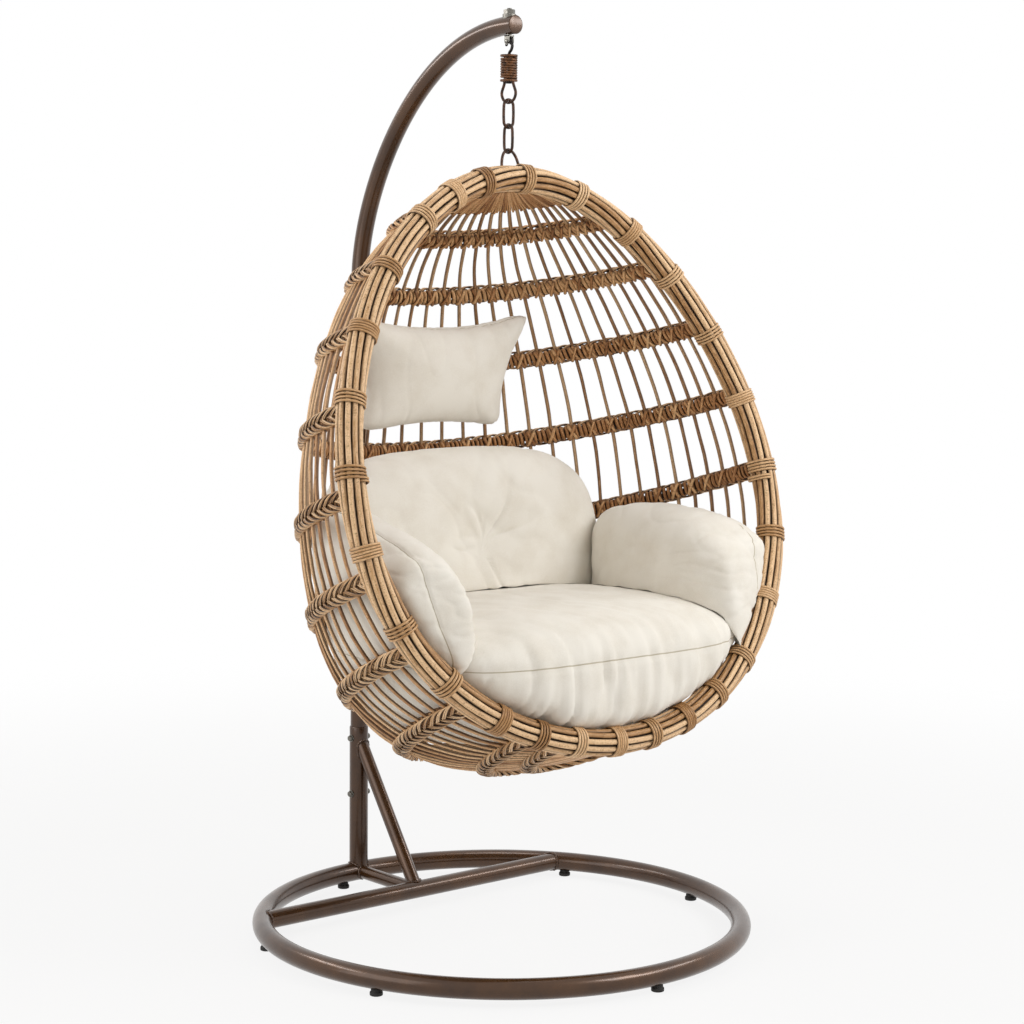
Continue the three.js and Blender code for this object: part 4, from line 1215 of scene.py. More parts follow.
@dataclass(frozen=True)
class Egg:
    """The basket's surface: an egg whose opening is the rim, leaning back."""

    tilt: float = 17.0
    top: tuple[float, float, float] = (0.0, -22.5, 1588.5)
    half_width: float = 546.0
    half_height: float = 583.0
    taper: float = 0.127
    depth: float = 541.0
    depth_taper: float = 0.42
    depth_swell: float = 0.46
    fan: float = 0.15
    step: float = 1e-3

    @property
    def lean(self) -> Matrix:
        """The basket's turn from the upright."""
        return Matrix.Rotation(math.radians(-self.tilt), 3, "X")

    @property
    def middle(self) -> Vector:
        """The middle of the rim."""
        return Vector(self.top) - self.lean @ (Z * self.half_height)

    def rim_x(self, down: float | np.ndarray) -> float | np.ndarray:
        """Half the rim's width at an angle from the top."""
        return self.half_width * np.sin(down) * (1 - self.taper * np.cos(down))

    def deep(self, down: float | np.ndarray) -> float | np.ndarray:
        """How far the body bulges behind the rim at an angle from the top."""
        c = np.cos(down)
        return self.depth * np.sin(down) * (1 - self.depth_taper * c + self.depth_swell * c * c)

    def local(self, side: float, down: float) -> Vector:
        """A point of the egg in the basket's own frame, from a side angle and an angle from the top."""
        y = float(self.deep(down)) * math.sin(side)
        z = self.half_height * math.cos(down) + self.fan * math.cos(down) * y
        return Vector((float(self.rim_x(down)) * math.cos(side), y, z))

    def point(self, side: float, down: float) -> Vector:
        """A point of the egg where it hangs."""
        return self.middle + self.lean @ self.local(side, down)

    def ways(self, side: float, down: float) -> Frame:
        """The directions along a band, down a slat and out of the surface."""
        e = self.step
        along = (self.local(side + e, down) - self.local(side - e, down)).normalized()
        slat = (self.local(side, down + e) - self.local(side, down - e)).normalized()
        out = slat.cross(along).normalized()
        return self.lean @ along, self.lean @ slat, self.lean @ out

    def side_at(self, down: float, depth: float) -> float:
        """The side angle at which a band reaches a depth behind the rim."""
        return math.asin(min(depth / float(self.deep(down)), 1.0))

    def rim_frame(self, t: float) -> Frame:
        """The rim's point at an angle from the top, with the directions outward and behind it."""
        before, at, after = (
            Vector((float(self.rim_x(a)), 0, self.half_height * math.cos(a)))
            for a in (t - self.step, t, t + self.step)
        )
        along = (after - before).normalized()
        return self.middle + self.lean @ at, self.lean @ Vector((-along.z, 0, along.x)), self.lean @ Y

    def rim_rate(self, t: float) -> float:
        """Millimetres along the rim for each radian."""
        return (self.rim_frame(t + self.step)[0] - self.rim_frame(t - self.step)[0]).length / (2 * self.step)


@dataclass(frozen=True)
class BandRun:
    """A band's run round the egg: side angles, distances, and points with the ways out and down the slats."""

    sides: np.ndarray
    runs: np.ndarray
    frames: np.ndarray

    def at(self, runs: np.ndarray) -> list[Frame]:
        """The frames at some distances along the band."""
        columns = [np.interp(runs, self.runs, column) for column in self.frames.reshape(-1, 9).T]
        return [(Vector(row[:3]), Vector(row[3:6]), Vector(row[6:])) for row in np.stack(columns, 1)]


@dataclass
class Basket:
    """The cane basket: a rim of bundled canes with bindings, slats, woven bands and the crown."""

    shop: Workshop
    winder: Winder
    egg: Egg = field(default_factory=Egg)
    bundle: float = 54.0
    rim_canes: int = 10
    cane_radius: float = 5.9
    binding_width: float = 28.0
    bindings_right: Angles = (2.6, 19.3, 36, 50, 65, 80, 95, 110, 125, 141.5, 153, 163.5, 173)
    bindings_left: Angles = (11, 21.5, 33, 48.5, 63, 77, 91, 106, 122, 136.5, 150, 159.5, 168.5, 178)
    stays: Angles = (95, 265)
    stay_width: float = 12.0
    slat_count: int = 34
    slat_side: float = 7.0
    slat_spread: float = 0.2
    slat_radius: float = 4.1
    slat_ends: tuple[float, float] = (13, 174)
    slat_depth: float = 16.0
    band_first: float = 31.0
    band_step: float = 16.0
    band_count: int = 9
    band_depth: float = 24.0
    band_seed: int = 20
    base_seed: int = 12
    hoop_top: float = 20.0
    hoop_bottom: float = 166.0
    crown_edge: float = 9.0
    crown_wraps: int = 82
    wrap_pitch: float = 10.4
    rope_pitch: float = 108.0
    cross_depth: float = 11.8
    cross_half: float = 16.0

    def build(self) -> None:
        """Build and place every piece of the basket."""
        self._rim()
        self._bindings()
        self._slats()
        for i in range(self.band_count):
            name, down = f"woven_band_{i + 1}", self.band_first + self.band_step * i
            self._band(name, down, PALE_CANE if i else SMOKED_CANE, f"band_{i + 1}", self.band_seed + i)
        self._band("base_weave", self.hoop_bottom, PALE_CANE, "base_band", self.base_seed)
        self._crown()

    def _place(
        self, name: str, finish: Finish, nodes: Sequence[str], *layers: tuple[Guides, Strands]
    ) -> None:
        """Wind layers of strands, join them and place them.

        Args:
            name: The piece's name.
            finish: Its finish.
            nodes: The solids that it stands for.
            *layers: Guides, each with the strands that wind about them.
        """
        parts = [self.winder.wind(f"{name}_{i}", *layer, finish) for i, layer in enumerate(layers)]
        self.shop.place(join(name, parts), Body.BASKET, finish, *nodes)

    def _rim(self) -> None:
        """Build the bundle of canes that runs round the opening."""
        guides, steps = Guides(), 720
        turns = [TAU * i / steps for i in range(steps)]
        sway = [0.1 * math.sin(2 * t + 1) + 0.05 * math.sin(5 * t) for t in turns]
        guides.line([self.egg.rim_frame(t) for t in turns], sway, closed=True)
        reach = self.bundle / 2 - self.cane_radius
        canes = Strands(
            self.rim_canes, self.cane_radius, reach, reach, wander=1.8, uneven=0.16, sides=10, seed=3
        )
        self._place("rim_canes", PALE_CANE, ["rim"], (guides, canes))
        # The dark core stands for the shade deep inside the bundle.
        self._place("rim_shade_core", SHADE_CORE_CANE, ["rim"], (guides, Strands(1, reach - 3.4, sides=14)))

    def _bindings(self) -> None:
        """Build the wrapped bindings that hold the bundle together, and the thin stays beside two of them."""
        bindings, stays = Guides(), Guides()
        for number, angle in enumerate([*self.bindings_right, *(360 - a for a in self.bindings_left)]):
            self._wraps(bindings, math.radians(angle), self.binding_width, 4 + (number * 7) % 3 // 2, 0.25)
        for middle in map(math.radians, self.stays):
            self._wraps(stays, middle + 25.0 / self.egg.rim_rate(middle), self.stay_width, 2, 0.0)
        reach = self.bundle / 2 + 1.2
        wrapped = Strands(1, 2.85, reach, reach, wander=2.0, uneven=0.24, seed=5)
        stayed = Strands(1, 2.6, 15.4, reach - 0.4, shift_out=-13.4, wander=1.0, uneven=0.2, seed=6)
        self._place("rim_bindings", PALE_CANE, ["rim"], (bindings, wrapped), (stays, stayed))

    def _wraps(self, guides: Guides, middle: float, width: float, wraps: int, start: float) -> None:
        """Add the guide of one binding on the rim.

        Args:
            guides: The guides that get it.
            middle: Its angle round the rim, in radians.
            width: Its width from first to last wrap, in millimetres.
            wraps: How often it goes round.
            start: The turn that it starts at.
        """
        half = width / 2 / self.egg.rim_rate(middle)
        steps = wraps * 24
        frames = [self.egg.rim_frame(middle + half * (2 * i / steps - 1)) for i in range(steps + 1)]
        guides.line(frames, [wraps * i / steps + start for i in range(steps + 1)])

    def _slat_angles(self) -> list[float]:
        """The side angle of each slat, in radians."""
        shares = np.linspace(0, 1, self.slat_count)
        shares = shares - self.slat_spread * np.sin(TAU * shares) / TAU
        return [math.radians(self.slat_side + (180 - 2 * self.slat_side) * s) for s in shares]

    def _slats(self) -> None:
        """Build the canes that run down the egg, each from rim to rim."""
        guides = Guides()
        for side in self._slat_angles():
            downs = [math.radians(a) for a in np.linspace(*self.slat_ends, 92)]
            frames = []
            for down in (down for down in downs if self.egg.deep(down) * math.sin(side) > self.slat_depth):
                along, _, out = self.egg.ways(side, down)
                frames.append((self.egg.point(side, down), out, along))
            guides.line(frames)
        # Painted shade darkens the slats' sides; their inner faces are only partly darkened.
        strands = Strands(1, self.slat_radius, wander=3.0, uneven=0.2, sides=8, seed=7, inner_face=0.5)
        self._place("slat_canes", SLAT_CANE, ["slat_frame"], (guides, strands))

    def _run(self, down: float) -> BandRun:
        """The run of a band round the egg, from rim to rim.

        Args:
            down: Its angle from the top, in radians.

        Returns:
            The run.
        """
        end = self.egg.side_at(down, self.band_depth)
        sides = np.linspace(end, math.pi - end, 241)
        frames = []
        for side in sides:
            _, slat, out = self.egg.ways(side, down)
            frames.append((self.egg.point(side, down), out, slat))
        frames = np.array(frames)
        steps = np.linalg.norm(np.diff(frames[:, 0], axis=0), axis=1)
        return BandRun(sides, np.concatenate([[0.0], np.cumsum(steps)]), frames)

    def _band(self, name: str, down: float, finish: Finish, node: str, seed: int) -> None:
        """Build one woven band: close wraps, a cross at each slat inside, and a plait of two ropes outside.

        Args:
            name: The piece's name.
            down: Its angle from the top of the egg, in degrees.
            finish: Its finish.
            node: The solid that it stands for.
            seed: The seed of its unevenness.
        """
        run = self._run(math.radians(down))
        length = float(run.runs[-1])
        wraps, crosses, ropes = Guides(), Guides(), Guides()
        inner = [side for side in self._slat_angles() if run.sides[0] + 0.02 < side < run.sides[-1] - 0.02]
        middles = [float(np.interp(side, run.sides, run.runs)) for side in inner]
        fine = np.linspace(0, length, int(length / self.wrap_pitch * 13))
        turns = [r / self.wrap_pitch + 0.3 * noise.noise(Vector((r / 24, seed, 0))) for r in fine]
        near = [min([abs(r - m) for m in middles] or [99.0]) for r in fine]
        wraps.line(run.at(fine), turns, [0.86 + 0.2 * math.exp(-((n / 11) ** 2)) for n in near])
        shares = np.linspace(-1, 1, 9)
        for number, middle in enumerate(middles):
            for s in (-1, 1):
                tilt = 8.5 + 2.0 * noise.noise(Vector((number * 1.7, seed, s)))
                frames = []
                for (point, out, slat), share in zip(run.at(middle + s * tilt * shares), shares):
                    depth = self.cross_depth + 1.2 * s - 6.0 * share**4
                    frames.append((point + slat * (self.cross_half * share) - out * depth, out, slat))
                crosses.line(frames)
        coarse = np.linspace(0, length, int(length / self.rope_pitch * 26))
        turns = [r / self.rope_pitch + 0.07 * noise.noise(Vector((r / 60, seed, 5))) for r in coarse]
        ropes.line(run.at(coarse), turns)

        coil = Strands(1, 4.3, 5.2, 12.9, shift_out=-1.8, wander=2.4, uneven=0.4, seed=seed)
        cross = Strands(1, 3.5, uneven=0.35, inner_face=1.0)
        self._place(f"{name}_wraps", SMOKED_CANE, [node], (wraps, coil), (crosses, cross))
        plait = [
            Strands(
                8, 2.3, 6.6, 9.0, 6.0, row * 8.7, row, wander=2.2, uneven=0.35, sides=6,
                seed=seed * 2 + row, ply=2, ply_turn=0.062,
            )
            for row in (-1, 1)
        ]
        self._place(name, finish, [node], *((ropes, strands) for strands in plait))

    def _crown(self) -> None:
        """Build the close wraps that loop from the rim's top round the crown's lower edge."""
        guides = Guides()
        low, high = math.radians(self.hoop_top + 0.2), math.radians(self.crown_edge)
        for k in range(self.crown_wraps):
            share = (k + 0.5) / self.crown_wraps
            edge_wave = 0.009 * math.cos(TAU * share * 24)
            frames = []
            for t in np.linspace(0, 1, 33):
                reach = 1 - abs(2 * t - 1)
                down = high + (low + edge_wave - high) * min(1.12 * reach, 1.0)
                edge = self.egg.side_at(down, min(30.0, 0.98 * float(self.egg.deep(down))))
                lean = 0.012 * math.sin(reach * math.pi) * math.sin(share * 9 + 1)
                side = edge + (math.pi - 2 * edge) * min(max(share + lean, 0), 1)
                along, slat, out = self.egg.ways(side, down)
                face = math.cos(math.pi * min(max((t - 0.42) / 0.16, 0), 1))
                point = self.egg.point(side, down) + out * (7.5 * face) + slat * (5.0 * (1 - abs(face)))
                frames.append((point, out * math.copysign(1.0, face), along))
            guides.line(frames)
        strands = Strands(1, 2.65, wander=0.6, uneven=0.2, seed=9)
        self._place("crown_wraps", SMOKED_CANE, ["crown_panel", "crown_band"], (guides, strands))


# ------------------------------------------------------------------ cushions


class Lie(Enum):
    """The axes across a cushion's face, then the axis that it is thin along."""

    FLAT = (0, 1, 2)
    UPRIGHT = (0, 2, 1)
    SIDEWAYS = (1, 2, 0)


@dataclass(frozen=True)
class CushionForm:
    """A stuffed form: its full size, its middle, its lean and how its corners and faces round."""

    size: tuple[float, float, float]
    middle: tuple[float, float, float]
    turn: float
    round: float
    crown: float
    pull: float
    lie: Lie
    seam: float = 0.0
    seam_lean: float = 0.0
    tuft: float = 0.0
    tuft_at: tuple[float, float] = (0.0, 0.0)
    tuft_reach: float = 70.0
    inset: float = 0.0
    ear: float = 0.0
    keel: float = 1.0
    taper: float = 0.0
    nose: float = 0.0
    ease: int = 70

    @property
    def half(self) -> np.ndarray:
        """Half its size."""
        return np.array(self.size) / 2

    @property
    def lean(self) -> np.ndarray:
        """Its turn from the upright."""
        return np.array(Matrix.Rotation(math.radians(-self.turn), 3, "X"))

    def grid(self, cols: int, rows: int) -> np.ndarray:
        """The form's own coordinates at each point of its skin: across, up the face and through it.

        Args:
            cols: Points round it.
            rows: Spans from the back pole to the front pole.

        Returns:
            An array of rows of three shares from -1 to 1, poles first and last.
        """
        half_a, half_b, half_c = (self.half[i] for i in self.lie.value)
        face = even_outline(self.round, (-math.pi, math.pi), cols, (half_a, half_b))[:-1]
        mean = (half_a + half_b) / 2
        side = even_outline(self.crown, (-math.pi / 2, math.pi / 2), rows, (mean, half_c))[1:-1]
        spread = np.where(side[:, 1] < 0, side[:, 0] ** self.keel, side[:, 0])[:, None]
        body = [spread * face[:, 0], spread * face[:, 1], side[:, 1:] + 0 * face[:, 0]]
        return np.vstack([[0, 0, -1], np.stack(body, -1).reshape(-1, 3), [0, 0, 1]])

    def place(self, grid: np.ndarray) -> np.ndarray:
        """The points of the form where it lies, before the basket presses on it.

        Args:
            grid: The form's own coordinates at each point.

        Returns:
            The points.
        """
        half, (ia, ib, ic) = self.half, self.lie.value
        a, b, c = grid.T
        from_tuft = (a * half[ia] - self.tuft_at[0]) ** 2 + (b * half[ib] - self.tuft_at[1]) ** 2
        dent = self.tuft * np.exp(-from_tuft / self.tuft_reach**2)
        cut = 1 - self.nose * (np.clip(-a, 0, 1) * np.clip(b, 0, 1)) ** 2
        made = np.zeros_like(grid)
        made[:, ia] = cut * a * half[ia] * (1 - self.pull * (1 - b * b)) * (1 + 0.6 * self.ear * b)
        eared = 1 + self.ear * np.abs(a) ** 3 * (b > 0)
        made[:, ib] = cut * b * half[ib] * (1 - self.pull * (1 - a * a)) * eared
        made[:, ic] = c * (half[ic] - np.where(c < 0, dent, 0)) * (1 - self.taper * b)
        return made @ self.lean.T + np.array(self.middle)

    def push_out(self, points: np.ndarray, room: float) -> np.ndarray:
        """Move points that are inside this form straight out of it.

        Args:
            points: The points.
            room: The room to leave round the form.

        Returns:
            The points, each outside the form.
        """
        half, (ia, ib, ic) = self.half + room, self.lie.value
        shares = ((points - np.array(self.middle)) @ self.lean) / half
        face = np.abs(shares[:, ia]) ** (2 / self.round) + np.abs(shares[:, ib]) ** (2 / self.round)
        value = face ** (self.round / self.crown) + np.abs(shares[:, ic]) ** (2 / self.crown)
        grow = np.where(value < 1, np.maximum(value, 1e-6) ** (-self.crown / 2), 1.0)
        return (shares * grow[:, None] * half) @ self.lean.T + np.array(self.middle)

    def from_seam(self, grid: np.ndarray) -> np.ndarray:
        """How far each point is from the seam, in millimetres through the form."""
        return (grid[:, 2] - self.seam + self.seam_lean * grid[:, 1]) * self.half[self.lie.value[2]]


def even_outline(
    exponent: float, span: tuple[float, float], count: int, reach: tuple[float, float]
) -> np.ndarray:
    """Points at even distances along a superellipse.

    Args:
        exponent: How round it is: 1 is an ellipse and 0 a rectangle.
        span: The angles that it runs between.
        count: How many spans the result has.
        reach: Its two half widths, which the distances are measured with.

    Returns:
        The points as shares of the half widths, one more than the spans.
    """
    turn = np.linspace(*span, OUTLINE_SAMPLES)
    level, rise = np.cos(turn), np.sin(turn)
    size = (np.abs(level) ** (2 / exponent) + np.abs(rise) ** (2 / exponent)) ** (-exponent / 2)
    points = np.stack([level * size, rise * size], -1)
    steps = np.linalg.norm(np.diff(points * np.array(reach), axis=0), axis=1)
    runs = np.concatenate([[0.0], np.cumsum(steps)])
    where = np.linspace(0, runs[-1], count + 1)
    return np.stack([np.interp(where, runs, points[:, k]) for k in (0, 1)], -1)


def skin_faces(cols: int, rows: int) -> list[tuple[int, ...]]:
    """The faces of a skin whose points are a pole, rings and a second pole.

    Args:
        cols: Points in a ring.
        rows: Spans from pole to pole.

    Returns:
        The faces.
    """
    faces: list[tuple[int, ...]] = []
    low = 1 + (rows - 2) * cols
    for j in range(cols):
        k = (j + 1) % cols
        faces += [(0, 1 + k, 1 + j), (low + cols, low + j, low + k)]
        faces += [(i + j, i + k, i + cols + k, i + cols + j) for i in range(1, low, cols)]
    return faces


def soften(points: np.ndarray, cols: int, times: int) -> np.ndarray:
    """Ease the sharp bends out of a cushion's skin.

    Args:
        points: The back pole, rings of points, and the front pole.
        cols: How many points a ring has.
        times: How often each point moves towards the middle of its neighbours.

    Returns:
        The points in the same order.
    """
    back, front = (np.broadcast_to(pole, (1, cols, 3)) for pole in (points[0], points[-1]))
    body = points[1:-1].reshape(-1, cols, 3)
    for _ in range(times):
        tall = np.concatenate([back, body, front])
        mean = (np.roll(body, 1, 1) + np.roll(body, -1, 1) + tall[:-2] + tall[2:]) / 4
        body = (body + mean) / 2
    return np.vstack([body[0].mean(0), body.reshape(-1, 3), body[-1].mean(0)])


def ridges(places: np.ndarray, scale: tuple[float, float, float], seed: float) -> np.ndarray:
    """Soft creases: a ridged noise whose cells are scale millimetres in size.

    Args:
        places: The points.
        scale: The size of a cell along each axis.
        seed: A shift that makes this pattern its own.

    Returns:
        Heights from -1 in a crease to 0.
    """
    cells = places / np.array(scale) + np.array([seed, 0, 0])
    rough = np.array([abs(noise.noise(Vector(cell))) for cell in cells])
    return -((1 - np.minimum(rough * 3.2, 1)) ** 2)


def seat_folds(grid: np.ndarray, points: np.ndarray) -> np.ndarray:
    """Folds that fan over the top of the seat and run down its front."""
    lean = np.clip(points[:, 1] + 330, 0, 400) * 0.8
    fan = np.stack([points[:, 0] + lean, points[:, 1] * 0.5, points[:, 2]], -1)
    edge = np.clip(1.25 - np.abs(grid[:, 2]), 0.25, 1) * np.clip((60 - points[:, 1]) / 260, 0.12, 1)
    broad, fine = ridges(fan, (52, 420, 420), 4.0), ridges(fan, (30, 260, 320), 7.0)
    return edge * (9.0 * broad + 5.0 * fine) + 2.5 * ridges(points, (150, 190, 240), 9.0)


def back_folds(grid: np.ndarray, points: np.ndarray) -> np.ndarray:
    """Folds that radiate from the tuft in the middle of the back."""
    across, up = grid[:, 0] * 411 - 15, grid[:, 1] * 235 - 30
    angle, radius = np.arctan2(up, across), np.hypot(across, up)
    ring = np.stack([np.cos(angle) * 1.3, np.sin(angle) * 1.3, radius / 300], -1)
    fade = np.exp(-(((radius - 60) / 120) ** 2)) * np.clip(radius / 40, 0, 1)
    return 6.5 * fade * ridges(ring, (1, 1, 1), 2.0) + 3.0 * ridges(points, (130, 130, 130), 6.0)


def arm_folds(_: np.ndarray, points: np.ndarray) -> np.ndarray:
    """Short gathers across the seams of an arm cushion."""
    gathers = np.clip((-120 - points[:, 1]) / 180, 0, 1) * ridges(points, (90, 90, 30), 2.0)
    fine, broad = ridges(points, (110, 90, 110), 5.0), ridges(points, (200, 140, 140), 1.0)
    return 2.6 * gathers + 2.5 * fine + 2.0 * broad


def pillow_folds(grid: np.ndarray, points: np.ndarray) -> np.ndarray:
    """Faint pulls towards the pillow's corners."""
    corner = np.clip(np.abs(grid[:, 0] * grid[:, 1]), 0, 1)
    return (0.8 + 2.4 * corner) * ridges(points, (60, 150, 170), 8.0)


@dataclass
class Cushions:
    """The seat, back, two arm cushions and the head pillow."""

    shop: Workshop
    egg: Egg = field(default_factory=Egg)
    rim_room: float = 29.0
    slat_room: float = 17.5
    bulge: float = 75.0
    press: float = 12.0
    gap: float = 0.6
    cols: int = 300
    rows: int = 110
    halvings: int = 18
    search: float = 70.0
    pucker_width: float = 22.0
    seam_width: float = 6.0
    skins: list[BVHTree] = field(default_factory=list)

    def inside(self, points: np.ndarray, inset: float) -> np.ndarray:
        """Whether each point is inside the basket, clear of its slats and rim.

        Args:
            points: The points.
            inset: More room to keep.

        Returns:
            A truth value for each point.
        """
        egg = self.egg
        x, y, z = ((points - np.array(egg.middle)) @ np.array(egg.lean)).T
        back = np.maximum(y, 0)
        blend = np.clip((y - 30) / 40, 0, 1)
        steep = np.arccos(np.clip(z / (egg.half_height + egg.fan * back), -1, 1))
        room = self.rim_room * (1 - blend) + self.slat_room * blend + inset
        room /= np.abs(np.sin(steep)) + np.abs(np.cos(steep))
        c = z / (egg.half_height - room + egg.fan * back)
        down = np.arccos(np.clip(c, -1, 1))
        half_x, half_y = egg.rim_x(down) - room, egg.deep(down) - room
        fine = (np.abs(c) < 1) & (half_x > 0) & (half_y > 0)
        half_x, half_y = np.where(fine, half_x, 1.0), np.where(fine, half_y, 1.0)
        front = -self.bulge * (1 - np.minimum((x / half_x) ** 2, 1)) - 24
        return fine & (y > front) & ((x / half_x) ** 2 + (back / half_y) ** 2 < 1)

    def drawn_in(self, points: np.ndarray, form: CushionForm) -> np.ndarray:
        """Draw each point towards the form's middle until it is inside the basket.

        Args:
            points: The points.
            form: The form that they belong to.

        Returns:
            The points, each inside the basket.
        """
        centre = np.array(form.middle)
        low, high = np.zeros(len(points)), np.ones(len(points))
        for _ in range(self.halvings):
            middle = (low + high) / 2
            good = self.inside(centre + (points - centre) * middle[:, None], form.inset)
            low, high = np.where(good, middle, low), np.where(good, high, middle)
        share = np.where(self.inside(points, form.inset), 1.0, low)
        return centre + (points - centre) * share[:, None]

    def clear(self, points: np.ndarray) -> np.ndarray:
        """Move points that are inside a cushion already built out to its skin.

        Args:
            points: The points.

        Returns:
            The points, each clear of those cushions.
        """
        made = [Vector(p) for p in points]
        for skin in self.skins:
            for i, point in enumerate(made):
                spot, normal, _, away = skin.find_nearest(point)
                if away < self.search and (point - spot).dot(normal) < self.gap:
                    made[i] = spot + normal * self.gap
        return np.array(made)

    def stuff(
        self,
        name: str,
        node: str,
        form: CushionForm,
        neighbours: Sequence[CushionForm],
        folds: Callable[[np.ndarray, np.ndarray], np.ndarray],
    ) -> None:
        """Build one cushion, dress it and place it.

        Args:
            name: The piece's name.
            node: The solid that it stands for.
            form: Its form.
            neighbours: The forms that press on it.
            folds: The height of the folds, from its own coordinates and its points.
        """
        grid = form.grid(self.cols, self.rows)
        points = self.drawn_in(form.place(grid), form)
        for other in neighbours:
            points = other.push_out(points, -self.press)
        points = self.clear(self.drawn_in(soften(points, self.cols, form.ease), form))
        shell = Shell([Vector(p) for p in points], skin_faces(self.cols, self.rows))
        piece = shell.build(name, self.shop.material(COTTON), 180)
        from_seam = form.from_seam(grid)
        pucker = np.exp(-((from_seam / self.pucker_width) ** 2)) * ridges(points, (17, 17, 17), 3.0)
        height = folds(grid, points) + 1.5 * pucker - 3.0 * np.exp(-((from_seam / self.seam_width) ** 2))
        normals = np.zeros(len(points) * 3)
        piece.data.vertices.foreach_get("normal", normals)
        points = self.clear(self.drawn_in(points + normals.reshape(-1, 3) * height[:, None], form))
        faces = [tuple(face.vertices) for face in piece.data.polygons]
        self.skins.append(BVHTree.FromPolygons([Vector(p) for p in points], faces))
        piece.data.vertices.foreach_set("co", (points * MM).ravel())
        seam_line = piece.data.attributes.new("seam", "FLOAT", "POINT")
        seam_line.data.foreach_set("value", (from_seam * MM).astype(np.float32))
        piece.data.update()
        self.shop.place(piece, Body.BASKET, COTTON, node)

    def build(self) -> None:
        """Build and place the five cushions."""
        low = self.egg.middle - self.egg.lean @ (Z * self.egg.half_height)

        def form(
            size: tuple[float, float, float], at: tuple[float, float, float], *shape: object, **more: object
        ) -> CushionForm:
            """A form whose middle is given from the bottom of the rim."""
            return CushionForm(size, tuple(low + Vector(at)), *shape, **more)

        seat = form((922, 602, 306), (0, 266, 109), 0, 0.55, 0.62, 0.02, Lie.FLAT, 0.4, keel=0.22, ease=35)
        back = form(
            (822, 200, 492), (4, 528, 315), 6, 0.7, 0.7, 0.03, Lie.UPRIGHT, tuft=30, tuft_at=(15, 30), inset=3
        )
        side = Lie.SIDEWAYS
        right = form(
            (230, 528, 340), (402, 246, 260), 0, 0.55, 0.72, 0.03, side, 0.4, inset=2, nose=0.42, ease=45
        )
        left = form(
            (236, 535, 300), (-424, 248, 295), -16, 0.72, 0.72, 0.03, side, 0.06, 0.45, inset=2, taper=0.36
        )
        hung = Vector(self.egg.top) - low + Vector((-4, 254, -413))
        pillow = form((456, 112, 250), tuple(hung), -12, 0.2, 0.9, 0.17, Lie.UPRIGHT, ear=0.19, ease=12)
        self.stuff("seat_pad", "seat_cushion", seat, (), seat_folds)
        self.stuff("back_pad", "back_cushion", back, (seat,), back_folds)
        self.stuff("right_arm_pad", "right_arm_cushion", right, (seat, back), arm_folds)
        self.stuff("left_arm_pad", "left_arm_cushion", left, (seat, back), arm_folds)
        self.stuff("pillow_pad", "head_pillow", pillow, (), pillow_folds)


# ------------------------------------------------------------------ studio


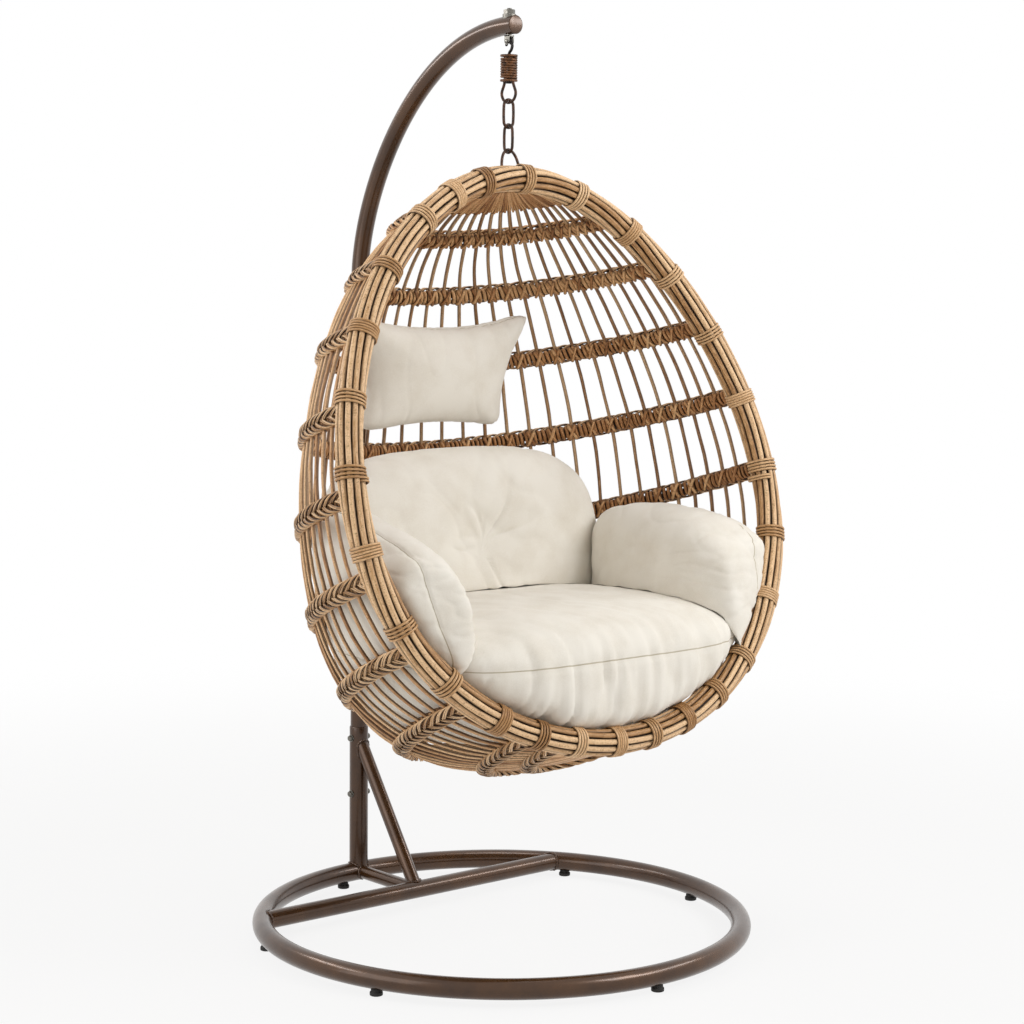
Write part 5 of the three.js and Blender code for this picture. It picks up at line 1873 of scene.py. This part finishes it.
@dataclass
class Studio:
    """The camera at the photograph's viewpoint, soft lights, the world and the pale floor, in metres."""

    position: tuple[float, float, float] = (-3.2718, -3.8527, 1.4397)
    azimuth: float = -40.5
    pitch: float = 6.1
    roll: float = 0.5
    focal: float = 85.64
    sensor: float = 36.0
    target: Vector = field(default_factory=lambda: Vector((0.0, 0.0, 0.95)))
    floor_half: float = 9000.0

    def build(self) -> None:
        """Set up the view and everything round the chair."""
        azimuth = math.radians(self.azimuth)
        right = Vector((math.cos(azimuth), math.sin(azimuth), 0))
        ahead = Vector((-math.sin(azimuth), math.cos(azimuth), 0))
        self._camera(right, ahead)
        self._world()
        self._floor()
        self._lamp("key_lamp", right * 3.0 - ahead * 1.5 + Z * 2.1, (1.4, 1.4), 56.0)
        self._lamp("fill_lamp", -right * 2.8 - ahead * 2.0 + Z * 0.9, (2.4, 2.4), 30.0)
        self._lamp("top_lamp", ahead * 0.4 + Z * 3.0, (1.0, 1.0), 18.0)
        self._lamp("right_strip", right * 3.1 + Z * 1.5, (2.2, 0.45), 28.0)
        self._lamp("left_strip", -right * 2.9 + ahead * 0.2 + Z * 1.5, (2.2, 0.45), 26.0)

    def _camera(self, right: Vector, level: Vector) -> None:
        """Place the camera.

        Args:
            right: The direction to its right.
            level: The direction ahead of it, without its pitch.
        """
        pitch, roll = math.radians(self.pitch), math.radians(self.roll)
        ahead = level * math.cos(pitch) - Z * math.sin(pitch)
        up = right.cross(ahead)
        across = right * math.cos(roll) + up * math.sin(roll)
        over = up * math.cos(roll) - right * math.sin(roll)
        data = bpy.data.cameras.new("photograph_view")
        data.lens, data.sensor_width = self.focal, self.sensor
        camera = bpy.data.objects.new("photograph_view", data)
        bpy.context.scene.collection.objects.link(camera)
        turn = Matrix((across, over, -ahead)).transposed().to_4x4()
        camera.matrix_world = Matrix.Translation(Vector(self.position)) @ turn
        bpy.context.scene.camera = camera

    def _lamp(self, name: str, off: Vector, size: tuple[float, float], power: float) -> None:
        """Add a soft lamp that faces the chair.

        Args:
            name: Its name.
            off: Its place from the target.
            size: Its width and height.
            power: Its power in watts.
        """
        data = bpy.data.lights.new(name, "AREA")
        data.shape, data.energy = "RECTANGLE", power
        data.size, data.size_y = size
        lamp = bpy.data.objects.new(name, data)
        bpy.context.scene.collection.objects.link(lamp)
        turn = (-off).to_track_quat("-Z", "Y").to_matrix().to_4x4()
        lamp.matrix_world = Matrix.Translation(self.target + off) @ turn

    @staticmethod
    def _world() -> None:
        """Light the room evenly, and show it white behind the chair."""
        world = bpy.data.worlds.new("studio")
        world.use_nodes = True
        world.node_tree.nodes.clear()
        nodes = Nodes(world.node_tree)
        through = nodes.add("ShaderNodeLightPath").outputs["Is Transmission Ray"]
        seen = nodes.math("MAXIMUM", nodes.seen_directly(), through)
        tint = nodes.mix(seen, linear("#fffaf3"), (1, 1, 1, 1))
        shine = {"Color": tint, "Strength": nodes.fade(seen, 0.0, 1.0, 0.47)}
        nodes.add("ShaderNodeOutputWorld", {"Surface": nodes.add("ShaderNodeBackground", shine).outputs[0]})
        bpy.context.scene.world = world
        bpy.context.scene.view_settings.view_transform = "Standard"

    def _floor(self) -> None:
        """Lay a pale floor that fades into the white room."""
        corners = ((-1, -1), (1, -1), (1, 1), (-1, 1))
        shell = Shell([Vector((x, y, 0)) * self.floor_half for x, y in corners], [(0, 1, 2, 3)])
        material = bpy.data.materials.new("pale floor")
        material.use_nodes = True
        material.node_tree.nodes.clear()
        nodes = Nodes(material.node_tree)
        matt = nodes.add("ShaderNodeBsdfDiffuse", {"Color": linear("#f0efee")}).outputs[0]
        glow = nodes.add("ShaderNodeEmission", {"Color": linear("#fafafa"), "Strength": 1.0}).outputs[0]
        lit = nodes.math("MULTIPLY", nodes.seen_directly(), 0.9)
        pale = nodes.add("ShaderNodeMixShader", {0: lit, 1: matt, 2: glow}).outputs[0]
        clear = nodes.add("ShaderNodeBsdfTransparent").outputs[0]
        far = nodes.fade(nodes.measure("LENGTH", nodes.object_place()), 1.2, 3.6, kind="SMOOTHSTEP")
        mixed = nodes.add("ShaderNodeMixShader", {0: far, 1: pale, 2: clear}).outputs[0]
        nodes.add("ShaderNodeOutputMaterial", {"Surface": mixed})
        shell.build("studio_floor", material)


def main() -> None:
    """Load the frame and build the chair in order."""
    logging.basicConfig(level=logging.INFO, format="%(name)s: %(message)s")
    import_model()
    shop = Workshop()
    Stand(shop).build()
    Hanger(shop).build()
    Basket(shop, Winder(shop)).build()
    Cushions(shop).build()
    Studio().build()


if __name__ == "__main__":
    main()
